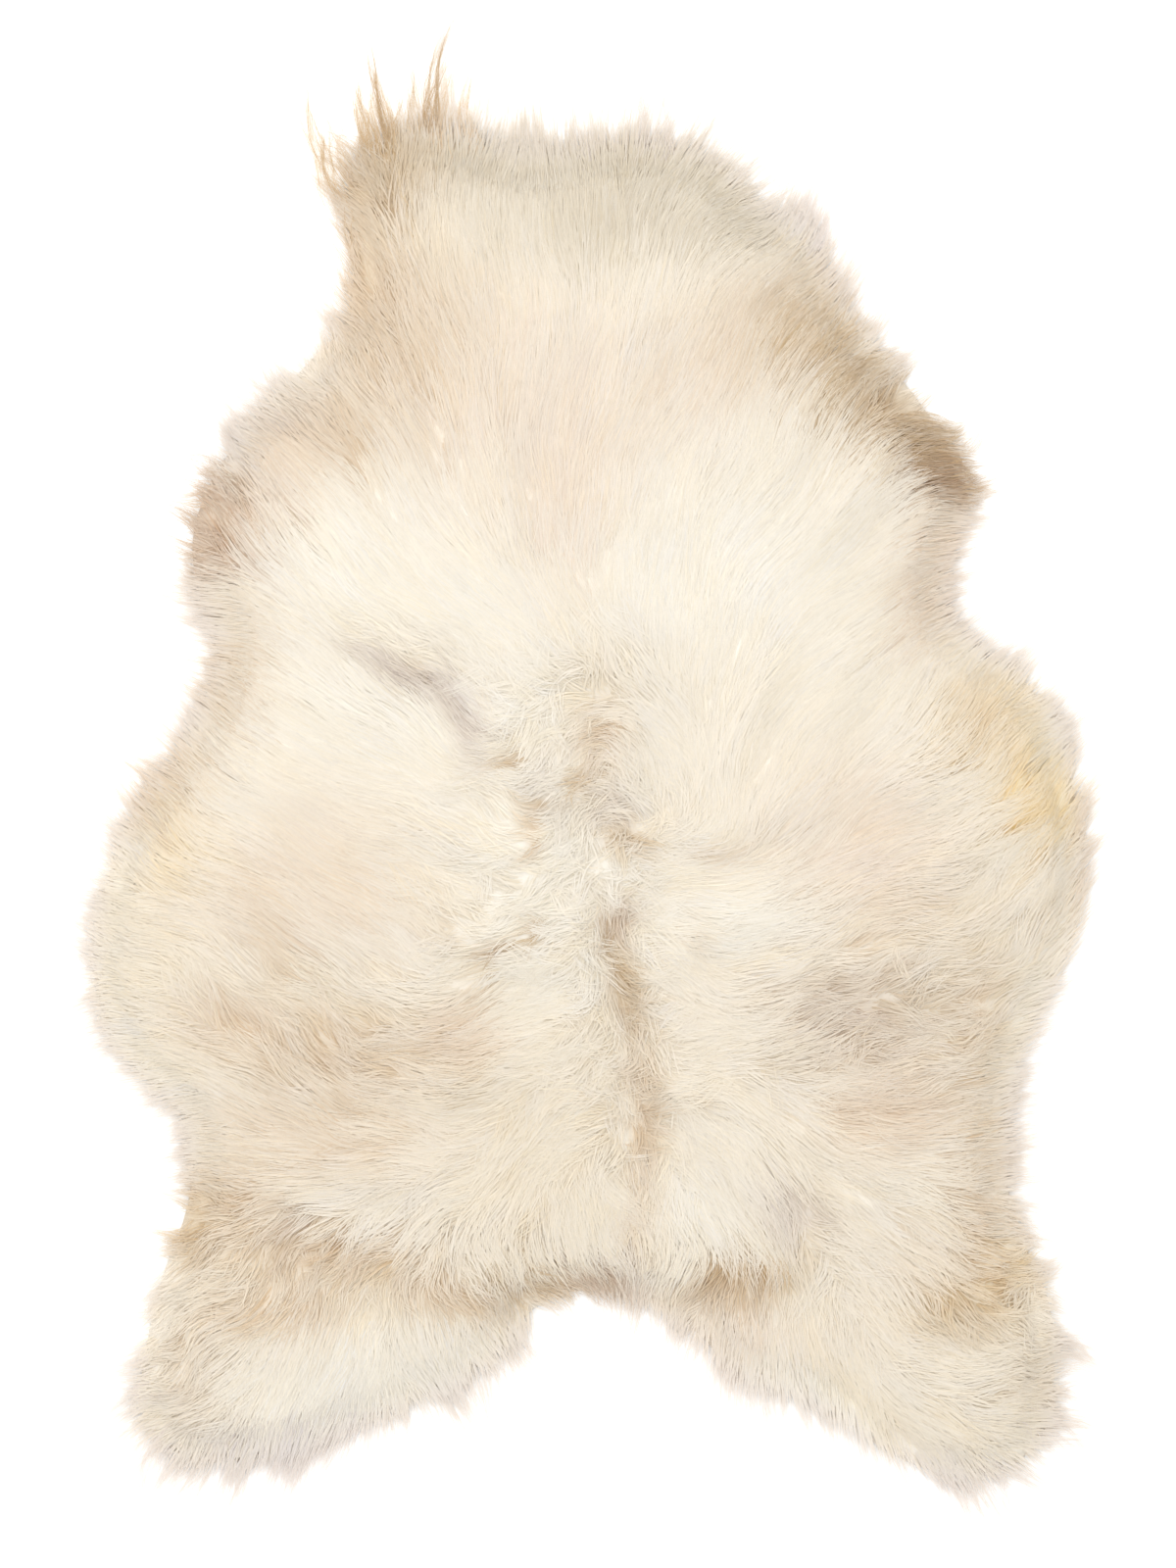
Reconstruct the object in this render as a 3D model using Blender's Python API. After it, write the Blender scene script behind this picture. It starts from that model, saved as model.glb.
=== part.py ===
"""A sheepskin rug lying flat on the floor, wool side up.

One tanned pelt in its natural outline, with the neck and the two ears towards +Y and the two
hind legs towards -Y. The long wool is combed outward from the spine, so the top is a lumpy
slab whose ridges follow the combing, and tapered locks of wool lie on the floor all round it.
Metres, +Z up. The origin lies on the floor under the middle of the rug's bounding box.
"""

import math

import bmesh
import bpy
import numpy as np
from mathutils import Vector, geometry, noise

RUG_NAME = "sheepskin_rug"
PELT_NAME = "sheepskin"
WOOL_COLOUR = (0.87, 0.82, 0.71, 1.0)
WOOL_ROUGHNESS = 0.9
SEED = 11

# Height of the wool above the floor.
EDGE_HEIGHT = 0.021  # where the locks leave the pelt's edge
BACK_HEIGHT = 0.056  # well inside the pelt
RISE_LENGTH = 0.050  # how far inside the edge most of that height is reached

# Lumps of wool, drawn out along the combing.
LUMP_HEIGHT = 0.026
LUMP_LENGTH = 0.045
LUMP_SIZE = 0.048
LUMP_STEPS = (-1.0, -0.5, 0.0, 0.5, 1.0)
EDGE_LUMP_SHARE = 0.28  # how much the height of the edge itself varies
EDGE_LUMP_LAYER = 3.0

# The parting along the spine, from the shoulders to the rump.
SPINE = ((0.000, 0.065), (0.010, -0.030), (0.022, -0.140), (0.034, -0.250), (0.030, -0.350))
PARTING_DEPTH = 0.010
PARTING_WIDTH = 0.016

# Spacing of the points that carry the relief, and of those under the pelt.
TOP_SPACING = 0.0205
BASE_SPACING = 0.085
SPACING_JITTER = 0.18
EDGE_CLEARANCE = 0.45  # smallest distance from the edge, in spacings

# Locks of wool round the edge.
LOCK_COUNT = 176
LOCK_SHARE = 0.70  # part of the edge that the locks' roots take
LOCK_SPREAD = 0.22  # how much a lock's length and width vary
LOCK_BOW = 0.32  # how far a lock bends sideways at most, as a share of its length
LOCK_BOW_LAYER = 7.0
LOCK_STATIONS = 3
WISP_STATIONS = 5
LOCK_TIP_WIDTH = 0.0020
LOCK_TIP_HEIGHT = 0.0020
LOCK_TOP_SHARE = 0.60  # a lock's width along its top, as a share of that on the floor
LOCK_TAPER = 2.0  # how late a lock narrows: 1 is an even taper
LOCK_SINK = 1.1  # how early it sinks to the floor
TANGENT_STEP = 0.05
LOCK_GAP = 0.0012  # least distance between neighbouring locks
LOCK_SHORTEN = 0.90
LOCK_ROUNDS = 30
CROWD_CHECKS = 10
COMB_SHARE = 0.60  # a lock follows the combing this far, and the outward direction otherwise

# How the rows of COMBING blend: their pull falls with this power of the distance.
COMB_POWER = 3
COMB_SOFTNESS = 0.01

GUIDE_RESOLUTION = 16
SHARP_ANGLE = math.radians(50)

# The pelt's edge, clockwise from the dip in the neck. Columns: place, x, y of the edge, and
# how far the wool reaches beyond it there.
EDGE = (
    ("neck_dip", -0.055, 0.498, 0.030),
    ("poll", 0.020, 0.508, 0.038),
    ("poll_right", 0.070, 0.506, 0.040),
    ("right_ear_root", 0.110, 0.482, 0.038),
    ("right_ear_front", 0.140, 0.450, 0.034),
    ("right_ear", 0.175, 0.436, 0.038),
    ("right_ear_back", 0.182, 0.405, 0.028),
    ("right_cheek", 0.225, 0.350, 0.034),
    ("right_shoulder_front", 0.265, 0.300, 0.034),
    ("right_shoulder", 0.298, 0.248, 0.034),
    ("right_shoulder_back", 0.285, 0.195, 0.028),
    ("right_waist", 0.280, 0.142, 0.024),
    ("right_flank_front", 0.312, 0.100, 0.026),
    ("right_flank_shoulder", 0.352, 0.072, 0.032),
    ("right_flank_upper", 0.378, 0.020, 0.030),
    ("right_flank", 0.390, -0.050, 0.029),
    ("right_flank_lower", 0.388, -0.115, 0.029),
    ("right_flank_back", 0.362, -0.170, 0.032),
    ("right_loin", 0.336, -0.235, 0.032),
    ("right_loin_low", 0.328, -0.305, 0.032),
    ("right_thigh_front", 0.342, -0.368, 0.036),
    ("right_thigh", 0.366, -0.430, 0.040),
    ("right_leg_outer", 0.368, -0.490, 0.044),
    ("right_leg_corner", 0.352, -0.538, 0.050),
    ("right_leg_end", 0.305, -0.552, 0.048),
    ("right_leg_inner", 0.255, -0.538, 0.040),
    ("right_hem_outer", 0.195, -0.494, 0.036),
    ("right_hem", 0.130, -0.470, 0.038),
    ("right_hem_inner", 0.082, -0.428, 0.034),
    ("tail", 0.005, -0.402, 0.030),
    ("left_hem_inner", -0.045, -0.415, 0.030),
    ("left_hem", -0.085, -0.458, 0.040),
    ("left_hem_middle", -0.135, -0.486, 0.040),
    ("left_hem_outer", -0.205, -0.516, 0.040),
    ("left_leg_inner", -0.268, -0.536, 0.042),
    ("left_leg_end", -0.322, -0.540, 0.048),
    ("left_leg_corner", -0.352, -0.514, 0.046),
    ("left_leg_outer", -0.350, -0.466, 0.038),
    ("left_thigh", -0.338, -0.410, 0.034),
    ("left_loin_low", -0.314, -0.335, 0.032),
    ("left_loin", -0.318, -0.266, 0.030),
    ("left_flank_back", -0.362, -0.224, 0.032),
    ("left_flank_lower", -0.388, -0.176, 0.030),
    ("left_flank", -0.387, -0.105, 0.027),
    ("left_flank_upper", -0.364, -0.036, 0.029),
    ("left_flank_front", -0.330, 0.010, 0.032),
    ("left_waist", -0.296, 0.068, 0.030),
    ("left_waist_front", -0.288, 0.130, 0.030),
    ("left_shoulder_back", -0.310, 0.175, 0.030),
    ("left_shoulder", -0.308, 0.216, 0.032),
    ("left_shoulder_front", -0.275, 0.276, 0.036),
    ("left_cheek", -0.220, 0.336, 0.034),
    ("left_ear_back", -0.186, 0.375, 0.030),
    ("left_ear_root", -0.180, 0.430, 0.036),
    ("left_ear", -0.184, 0.484, 0.042),
    ("left_ear_tip", -0.155, 0.514, 0.044),
    ("left_ear_front", -0.105, 0.514, 0.038),
)

# How the wool is combed. Columns: place, x, y, and its direction in degrees from +X.
COMBING = (
    ("left_ear", -0.175, 0.490, 112),
    ("left_neck", -0.110, 0.440, 100),
    ("neck", -0.030, 0.430, 91),
    ("poll", 0.045, 0.490, 83),
    ("right_ear", 0.150, 0.450, 48),
    ("left_cheek", -0.170, 0.350, 120),
    ("neck_middle", -0.030, 0.300, 90),
    ("right_cheek", 0.150, 0.320, 45),
    ("right_collar", 0.075, 0.370, 62),
    ("left_shoulder_front", -0.250, 0.290, 136),
    ("left_blade", -0.130, 0.250, 116),
    ("left_shoulder", -0.300, 0.200, 150),
    ("left_side", -0.200, 0.170, 146),
    ("withers", 0.000, 0.190, 86),
    ("right_blade", 0.110, 0.220, 50),
    ("right_shoulder", 0.280, 0.230, 30),
    ("right_side", 0.210, 0.180, 40),
    ("left_waist", -0.280, 0.090, 165),
    ("left_rib", -0.170, 0.050, 148),
    ("left_back", -0.070, 0.080, 122),
    ("right_back", 0.100, 0.060, 72),
    ("right_rib", 0.200, 0.050, 52),
    ("right_waist", 0.280, 0.120, 33),
    ("right_flank_front", 0.360, 0.040, 45),
    ("left_flank_front", -0.340, -0.010, 125),
    ("left_flank", -0.370, -0.120, 176),
    ("left_belly", -0.220, -0.080, 160),
    ("left_middle", -0.090, -0.100, 176),
    ("right_middle", 0.100, -0.100, 18),
    ("right_belly", 0.230, -0.080, 22),
    ("right_flank", 0.390, -0.060, 40),
    ("right_flank_back", 0.370, -0.160, 18),
    ("left_loin", -0.310, -0.280, 178),
    ("left_haunch", -0.150, -0.290, 170),
    ("right_haunch", 0.170, -0.260, -8),
    ("right_loin", 0.330, -0.300, 3),
    ("rump", 0.010, -0.350, -80),
    ("left_rump", -0.080, -0.350, -75),
    ("right_rump", 0.110, -0.360, -68),
    ("left_thigh", -0.330, -0.400, -150),
    ("left_thigh_inner", -0.190, -0.410, -110),
    ("left_leg", -0.330, -0.520, -146),
    ("left_hem", -0.200, -0.510, -95),
    ("left_hem_inner", -0.090, -0.450, -62),
    ("right_hem_inner", 0.080, -0.420, -115),
    ("right_hem", 0.150, -0.470, -82),
    ("right_thigh_inner", 0.220, -0.430, -62),
    ("right_leg_inner", 0.250, -0.520, -62),
    ("right_leg", 0.320, -0.540, -38),
    ("right_leg_outer", 0.370, -0.500, -8),
    ("right_thigh", 0.350, -0.420, 8),
)

# Long single wisps. Columns: place, x and y of the root, x and y of the tip, sideways bow.
WISPS = (
    ("left_ear_outer", -0.186, 0.500, -0.224, 0.566, 0.10),
    ("left_ear_middle", -0.158, 0.512, -0.178, 0.594, -0.12),
    ("left_ear_inner", -0.122, 0.518, -0.116, 0.606, -0.12),
    ("left_ear_front", -0.090, 0.508, -0.084, 0.568, 0.06),
    ("poll_left", 0.010, 0.508, 0.010, 0.556, 0.06),
    ("poll_right", 0.052, 0.510, 0.058, 0.570, -0.06),
    ("right_ear_tip", 0.176, 0.436, 0.200, 0.490, -0.12),
    ("right_shoulder_point", 0.298, 0.250, 0.335, 0.252, 0.10),
    ("left_shoulder_curl", -0.296, 0.246, -0.336, 0.262, 0.14),
    ("left_leg_tip", -0.340, -0.530, -0.356, -0.592, 0.08),
    ("left_leg_side", -0.354, -0.500, -0.396, -0.514, 0.06),
    ("right_leg_tip", 0.322, -0.552, 0.336, -0.604, 0.08),
    ("right_leg_side", 0.362, -0.520, 0.404, -0.560, -0.06),
)

# Broad rises and hollows in the wool. Columns: place, x, y, radius, height.
RELIEF = (
    ("spine_tangle", -0.045, -0.090, 0.050, -0.007),
    ("spine_whorl", 0.030, 0.055, 0.035, -0.006),
    ("left_curl", -0.100, 0.050, 0.035, -0.005),
    ("left_belly_tuft", -0.230, -0.110, 0.060, 0.005),
    ("right_belly_tuft", 0.220, -0.120, 0.060, 0.005),
    ("left_flank_roll", -0.350, -0.070, 0.050, 0.006),
    ("right_flank_roll", 0.355, -0.030, 0.050, 0.007),
    ("rump_band_left", -0.150, -0.375, 0.045, -0.006),
    ("rump_band_right", 0.110, -0.385, 0.040, -0.007),
    ("left_thigh", -0.270, -0.440, 0.060, 0.005),
    ("right_thigh", 0.300, -0.450, 0.060, 0.005),
    ("neck", -0.050, 0.420, 0.080, 0.004),
)


def clear_scene():
    """Removes every object, so that the scene holds the rug alone."""
    for old in list(bpy.data.objects):
        bpy.data.objects.remove(old, do_unlink=True)


def new_collection(name):
    made = bpy.data.collections.new(name)
    bpy.context.scene.collection.children.link(made)
    return made


def wool_material():
    material = bpy.data.materials.new("wool")
    material.use_nodes = True
    shader = material.node_tree.nodes["Principled BSDF"]
    shader.inputs["Base Color"].default_value = WOOL_COLOUR
    shader.inputs["Roughness"].default_value = WOOL_ROUGHNESS
    shader.inputs["Metallic"].default_value = 0.0
    return material


def columns(table):
    """The number columns of a table, without its first column of names."""
    return np.array([row[1:] for row in table])


def outline_guide(collection):
    """The pelt's edge as a closed Bezier curve, and the points along it."""
    curve = bpy.data.curves.new("pelt_edge", "CURVE")
    curve.dimensions = "2D"
    curve.resolution_u = GUIDE_RESOLUTION
    spline = curve.splines.new("BEZIER")
    spline.bezier_points.add(len(EDGE) - 1)
    spline.use_cyclic_u = True
    for knot, (_, x, y, _) in zip(spline.bezier_points, EDGE):
        knot.co = (x, y, 0.0)
        knot.handle_left_type = "AUTO"
        knot.handle_right_type = "AUTO"
    guide = bpy.data.objects.new("pelt_edge", curve)
    guide.hide_render = True
    guide.display_type = "WIRE"
    collection.objects.link(guide)
    bpy.context.view_layer.update()
    drawn = guide.evaluated_get(bpy.context.evaluated_depsgraph_get()).to_mesh()
    return np.array([vertex.co[:2] for vertex in drawn.vertices])


def lengths_along(points):
    """The distance along a closed line at each of its points, and at its end."""
    steps = np.linalg.norm(np.roll(points, -1, axis=0) - points, axis=1)
    return np.concatenate([[0.0], np.cumsum(steps)])


def point_along(points, lengths, distance):
    """The point of a closed line at this distance along it."""
    closed = np.vstack([points, points[:1]])
    wrapped = np.mod(distance, lengths[-1])
    return np.stack([np.interp(wrapped, lengths, closed[:, axis]) for axis in (0, 1)], axis=-1)


def comb_direction(place):
    """The unit direction in which the wool is combed, from the nearest rows of COMBING."""
    rows = columns(COMBING)
    apart = np.linalg.norm(rows[:, :2] - place, axis=1)
    weights = 1.0 / (apart + COMB_SOFTNESS) ** COMB_POWER
    angles = np.radians(rows[:, 2])
    pull = np.array([weights @ np.cos(angles), weights @ np.sin(angles)])
    return pull / np.linalg.norm(pull)


def line_distance(place, line):
    """The distance from a place to a line of straight runs."""
    starts = line[:-1]
    runs = line[1:] - starts
    share = np.einsum("ij,ij->i", place - starts, runs) / np.einsum("ij,ij->i", runs, runs)
    nearest = starts + np.clip(share, 0.0, 1.0)[:, None] * runs
    return float(np.linalg.norm(nearest - place, axis=1).min())


def inside(place, outline):
    """Whether a place lies inside a closed outline."""
    x, y = outline[:, 0], outline[:, 1]
    next_x, next_y = np.roll(x, -1), np.roll(y, -1)
    crosses = (y > place[1]) != (next_y > place[1])
    rise = np.where(crosses, next_y - y, 1.0)
    meets = x + (place[1] - y) * (next_x - x) / rise
    return bool(np.count_nonzero(crosses & (place[0] < meets)) % 2)


def uneven(place, size, layer=0.0):
    """A smooth value from about -1 to 1 that changes over this size."""
    return noise.noise(Vector((place[0] / size, place[1] / size, layer)))


def edge_height(place):
    return EDGE_HEIGHT * (1.0 + EDGE_LUMP_SHARE * uneven(place, LUMP_SIZE, EDGE_LUMP_LAYER))


def wool_height(place, edge):
    """The height of the wool at a place inside the pelt's edge."""
    closed = np.vstack([edge, edge[:1]])
    rise = 1.0 - math.exp(-line_distance(place, closed) / RISE_LENGTH)
    direction = comb_direction(place)
    combed = [uneven(place + step * LUMP_LENGTH * direction, LUMP_SIZE) for step in LUMP_STEPS]
    height = edge_height(place) + (BACK_HEIGHT - EDGE_HEIGHT) * rise
    height += LUMP_HEIGHT * rise * sum(combed) / len(combed)
    parted = line_distance(place, np.array(SPINE)) / PARTING_WIDTH
    height -= PARTING_DEPTH * math.exp(-parted * parted)
    for x, y, radius, rise_here in columns(RELIEF):
        apart = ((place[0] - x) ** 2 + (place[1] - y) ** 2) / (radius * radius)
        height += rise_here * math.exp(-apart)
    return height


def scattered(edge, spacing, chance):
    """Places on an uneven triangular grid inside the pelt's edge."""
    low = edge.min(axis=0)
    high = edge.max(axis=0)
    closed = np.vstack([edge, edge[:1]])
    row_height = spacing * math.sqrt(0.75)
    places = []
    for row in range(int((high[1] - low[1]) / row_height) + 1):
        for column in range(int((high[0] - low[0]) / spacing) + 2):
            place = low + ((column - 0.5 * (row % 2)) * spacing, row * row_height)
            place = place + chance.uniform(-1.0, 1.0, 2) * SPACING_JITTER * spacing
            if inside(place, edge) and line_distance(place, closed) > EDGE_CLEARANCE * spacing:
                places.append(place)
    return places


class Lock:
    """One lock of wool: where it leaves the edge, where its tip lies and how it bends."""

    def __init__(self, start, end, reach, bow):
        self.root = (start + end) / 2
        self.width = float(np.linalg.norm(end - start))
        self.reach = reach
        self.bow = bow
        self.stations = LOCK_STATIONS
        self.is_wisp = False

    def become_wisp(self, tip, bow):
        """Draws the lock out to a tip of its own."""
        self.reach = np.array(tip) - self.root
        self.bow = bow
        self.stations = WISP_STATIONS
        self.is_wisp = True

    def length(self):
        return float(np.linalg.norm(self.reach))

    def shorten(self):
        self.reach = self.reach * LOCK_SHORTEN
        self.bow *= LOCK_SHORTEN

    def centre(self, share):
        """The middle of the lock at a share of its length."""
        sideways = np.array([-self.reach[1], self.reach[0]])
        return self.root + share * self.reach + 4 * self.bow * share * (1 - share) * sideways

    def across(self, share):
        """The unit direction across the lock, to the right of its own direction."""
        ahead = self.centre(share) - self.centre(share - TANGENT_STEP)
        return np.array([ahead[1], -ahead[0]]) / np.linalg.norm(ahead)

    def width_at(self, share):
        return LOCK_TIP_WIDTH + (self.width - LOCK_TIP_WIDTH) * (1 - share**self.taper())

    def taper(self):
        """A long wisp narrows evenly and a short lock late."""
        return 1.0 if self.is_wisp else LOCK_TAPER

    def steps(self):
        return [step / self.stations for step in range(1, self.stations + 1)]


def outward(start, end):
    """The unit direction out of the pelt across one stretch of its edge, which runs clockwise."""
    along = end - start
    return np.array([-along[1], along[0]]) / np.linalg.norm(along)


def lay_locks(edge, chance):
    """The edge cut into roots and gaps in turn, and a lock on each root."""
    lengths = lengths_along(edge)
    knots = columns(EDGE)
    knot_places = [lengths[np.linalg.norm(edge - knot[:2], axis=1).argmin()] for knot in knots]
    pitch = lengths[-1] / LOCK_COUNT
    cuts = []
    locks = []
    for index in range(LOCK_COUNT):
        share = LOCK_SHARE * (1 + LOCK_SPREAD * chance.uniform(-1.0, 1.0))
        start_at = index * pitch
        end_at = start_at + share * pitch
        start, end = point_along(edge, lengths, np.array([start_at, end_at]))
        cuts += [start, end]
        middle = (start + end) / 2
        reach = np.interp(start_at, knot_places, knots[:, 2], period=lengths[-1])
        reach *= 1 + LOCK_SPREAD * chance.uniform(-1.0, 1.0)
        heading = COMB_SHARE * comb_direction(middle) + (1 - COMB_SHARE) * outward(start, end)
        heading /= np.linalg.norm(heading)
        bow = LOCK_BOW * uneven(middle, LUMP_SIZE, LOCK_BOW_LAYER)
        locks.append(Lock(start, end, reach * heading, bow))
    for _, root_x, root_y, tip_x, tip_y, bow in WISPS:
        apart = [np.linalg.norm(lock.root - (root_x, root_y)) for lock in locks]
        locks[int(np.argmin(apart))].become_wisp((tip_x, tip_y), bow)
    return np.array(cuts), locks


def crowded(lock, other):
    """Whether two locks come closer than their gap."""
    shares = np.linspace(1.0 / CROWD_CHECKS, 1.0, CROWD_CHECKS)
    mine = np.array([lock.centre(share) for share in shares])
    theirs = np.array([other.centre(share) for share in shares])
    room = np.linalg.norm(mine[:, None] - theirs[None, :], axis=2)
    widths = np.array([lock.width_at(share) for share in shares])
    others = np.array([other.width_at(share) for share in shares])
    return bool((room < (widths[:, None] + others[None, :]) / 2 + LOCK_GAP).any())


def keep_apart(locks):
    """Shortens one of two locks that would touch, until every lock lies by itself.

    It is the longer of the two, but a lock gives way to a long wisp.
    """
    for _ in range(LOCK_ROUNDS):
        moved = False
        for index, lock in enumerate(locks):
            for other in locks[index + 1 :]:
                reach = lock.length() + other.length() + lock.width
                if np.linalg.norm(lock.root - other.root) < reach and crowded(lock, other):
                    max(lock, other, key=lambda one: (not one.is_wisp, one.length())).shorten()
                    moved = True
        if not moved:
            return


def fill(rim_count, places):
    """The triangles between a closed rim, which comes first in the places, and what lies in it."""
    flat = [Vector(place) for place in places]
    rim = list(range(rim_count))
    made = geometry.delaunay_2d_cdt(flat, [], [rim], 1, 1e-7)
    return [[int(made[3][corner][0]) for corner in face] for face in made[2]]


def add_cap(mesh, rim, places, heights, flip):
    """Fills one side of the pelt between the rim's vertices and new ones at these heights."""
    inner = [mesh.verts.new((*place, height)) for place, height in zip(places, heights)]
    corners = list(rim) + inner
    flat = [corner.co.xy for corner in corners]
    for face in fill(len(rim), flat):
        mesh.faces.new([corners[index] for index in (reversed(face) if flip else face)])


def grow_lock(mesh, root_face, lock):
    """Draws one lock out of its root in the wall of the edge, tapering to its tip."""
    face = root_face
    root_height = max(corner.co.z for corner in face.verts)
    for share in lock.steps():
        grown = bmesh.ops.extrude_discrete_faces(mesh, faces=[face])
        face = grown["faces"][0]
        height = LOCK_TIP_HEIGHT + (root_height - LOCK_TIP_HEIGHT) * (1 - share) ** LOCK_SINK
        centre = lock.centre(share)
        across = lock.across(share)
        corners = sorted(face.verts, key=lambda corner: corner.co.z)
        middle = sum((corner.co.xy for corner in face.verts), Vector((0.0, 0.0))) / 4
        for corner in corners:
            side = math.copysign(1.0, (corner.co.xy - middle).dot(Vector(across)))
            on_top = corner in corners[2:]
            half = side * lock.width_at(share) * (LOCK_TOP_SHARE if on_top else 1.0) / 2
            corner.co = (*(centre + half * across), height if on_top else 0.0)


def centre_on_origin(mesh):
    """Moves the mesh level, so that the middle of its bounding box is over the origin."""
    places = np.array([vertex.co[:2] for vertex in mesh.verts])
    middle = (places.min(axis=0) + places.max(axis=0)) / 2
    bmesh.ops.translate(mesh, verts=mesh.verts[:], vec=(-middle[0], -middle[1], 0.0))


def build_pelt(collection, guides):
    """The pelt with its wool as one closed solid."""
    chance = np.random.default_rng(SEED)
    edge = outline_guide(guides)
    cuts, locks = lay_locks(edge, chance)
    keep_apart(locks)
    mesh = bmesh.new()
    top_rim = [mesh.verts.new((*cut, edge_height(cut))) for cut in cuts]
    base_rim = [mesh.verts.new((*cut, 0.0)) for cut in cuts]
    tops = scattered(cuts, TOP_SPACING, chance)
    add_cap(mesh, top_rim, tops, [wool_height(place, cuts) for place in tops], False)
    bases = scattered(cuts, BASE_SPACING, chance)
    add_cap(mesh, base_rim, bases, [0.0] * len(bases), True)
    walls = []
    for index in range(len(cuts)):
        after = (index + 1) % len(cuts)
        wall = (top_rim[index], top_rim[after], base_rim[after], base_rim[index])
        walls.append(mesh.faces.new(wall))
    for root_face, lock in zip(walls[::2], locks):
        grow_lock(mesh, root_face, lock)
    bmesh.ops.recalc_face_normals(mesh, faces=mesh.faces[:])
    centre_on_origin(mesh)
    data = bpy.data.meshes.new(PELT_NAME)
    mesh.to_mesh(data)
    mesh.free()
    data.shade_smooth()
    data.set_sharp_from_angle(angle=SHARP_ANGLE)
    data.materials.append(wool_material())
    pelt = bpy.data.objects.new(PELT_NAME, data)
    collection.objects.link(pelt)
    return pelt


def main():
    clear_scene()
    guides = new_collection(RUG_NAME + "_guides")
    rug = new_collection(RUG_NAME)
    build_pelt(rug, guides)


main()
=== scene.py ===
"""A sheepskin rug: long combed wool on its tanned pelt, laid flat on a pale floor.

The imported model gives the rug's outline and the height of its wool. Round it this script makes
the suede underside, the short dense underwool, and the long wool itself as tapered fibres that
grow in locks, follow the combing and end in a soft fringe all round.
"""

import logging
import math
from dataclasses import astuple, dataclass, field, replace
from enum import Enum
from typing import Callable, Sequence

import bpy
import numpy as np
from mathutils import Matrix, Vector, geometry
from mathutils.bvhtree import BVHTree


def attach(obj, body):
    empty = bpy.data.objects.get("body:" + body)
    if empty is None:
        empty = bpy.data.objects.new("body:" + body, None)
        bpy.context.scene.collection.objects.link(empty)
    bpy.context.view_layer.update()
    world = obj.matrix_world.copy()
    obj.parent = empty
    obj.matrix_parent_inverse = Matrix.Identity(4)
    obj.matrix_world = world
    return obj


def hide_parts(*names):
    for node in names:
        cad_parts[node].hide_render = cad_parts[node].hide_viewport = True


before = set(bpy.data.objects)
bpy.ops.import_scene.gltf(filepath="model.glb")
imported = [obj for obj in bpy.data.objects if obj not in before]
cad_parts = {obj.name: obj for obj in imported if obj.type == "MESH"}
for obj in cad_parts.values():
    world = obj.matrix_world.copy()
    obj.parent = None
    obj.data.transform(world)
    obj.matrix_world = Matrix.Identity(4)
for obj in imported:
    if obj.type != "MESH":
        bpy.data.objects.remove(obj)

Array = np.ndarray
Chance = np.random.Generator
Mesh = bpy.types.Mesh
Piece = bpy.types.Object
Colour = tuple[float, ...]

LOG = logging.getLogger("sheepskin_rug")
NODE = "sheepskin"
BODY = "root"
FLEECE_PIECES = ("fleece_neck", "fleece_shoulders", "fleece_back", "fleece_loin", "fleece_legs")
FIBRE_COUNT = 100000

# The middle of the photograph in the rug's frame, and the height of floor that it takes in.
PHOTO_CENTRE = (0.0011, -0.0012)
PHOTO_HEIGHT = 1.28

CHUNKS = 60  # parts in which long arrays are worked through
TINY = 1e-9
LEAST_WEIGHT = 1e-30


class Tone(Enum):
    """The colours of the wool, as it is seen in plain light."""

    SNOW = (249, 244, 233)
    CREAM = (245, 237, 222)
    IVORY = (243, 233, 214)
    SHELL = (240, 226, 208)
    BEIGE = (233, 215, 192)
    SAND = (226, 205, 176)
    TAN = (212, 187, 149)
    HAZEL = (198, 170, 131)
    BROWN = (176, 140, 104)
    RUST = (206, 172, 138)
    OCHRE = (224, 194, 136)
    STRAW = (243, 220, 168)
    OLIVE = (221, 209, 187)
    TAUPE = (210, 189, 167)
    # ASH is also laid as painted shade in the wool's creases and partings.
    ASH = (219, 206, 194)
    MIST = (236, 228, 222)

    @property
    def linear(self) -> Array:
        """The colour in linear light."""
        share = np.array(self.value) / 255.0
        return np.where(share < 0.04045, share / 12.92, ((share + 0.055) / 1.055) ** 2.4)
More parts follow.
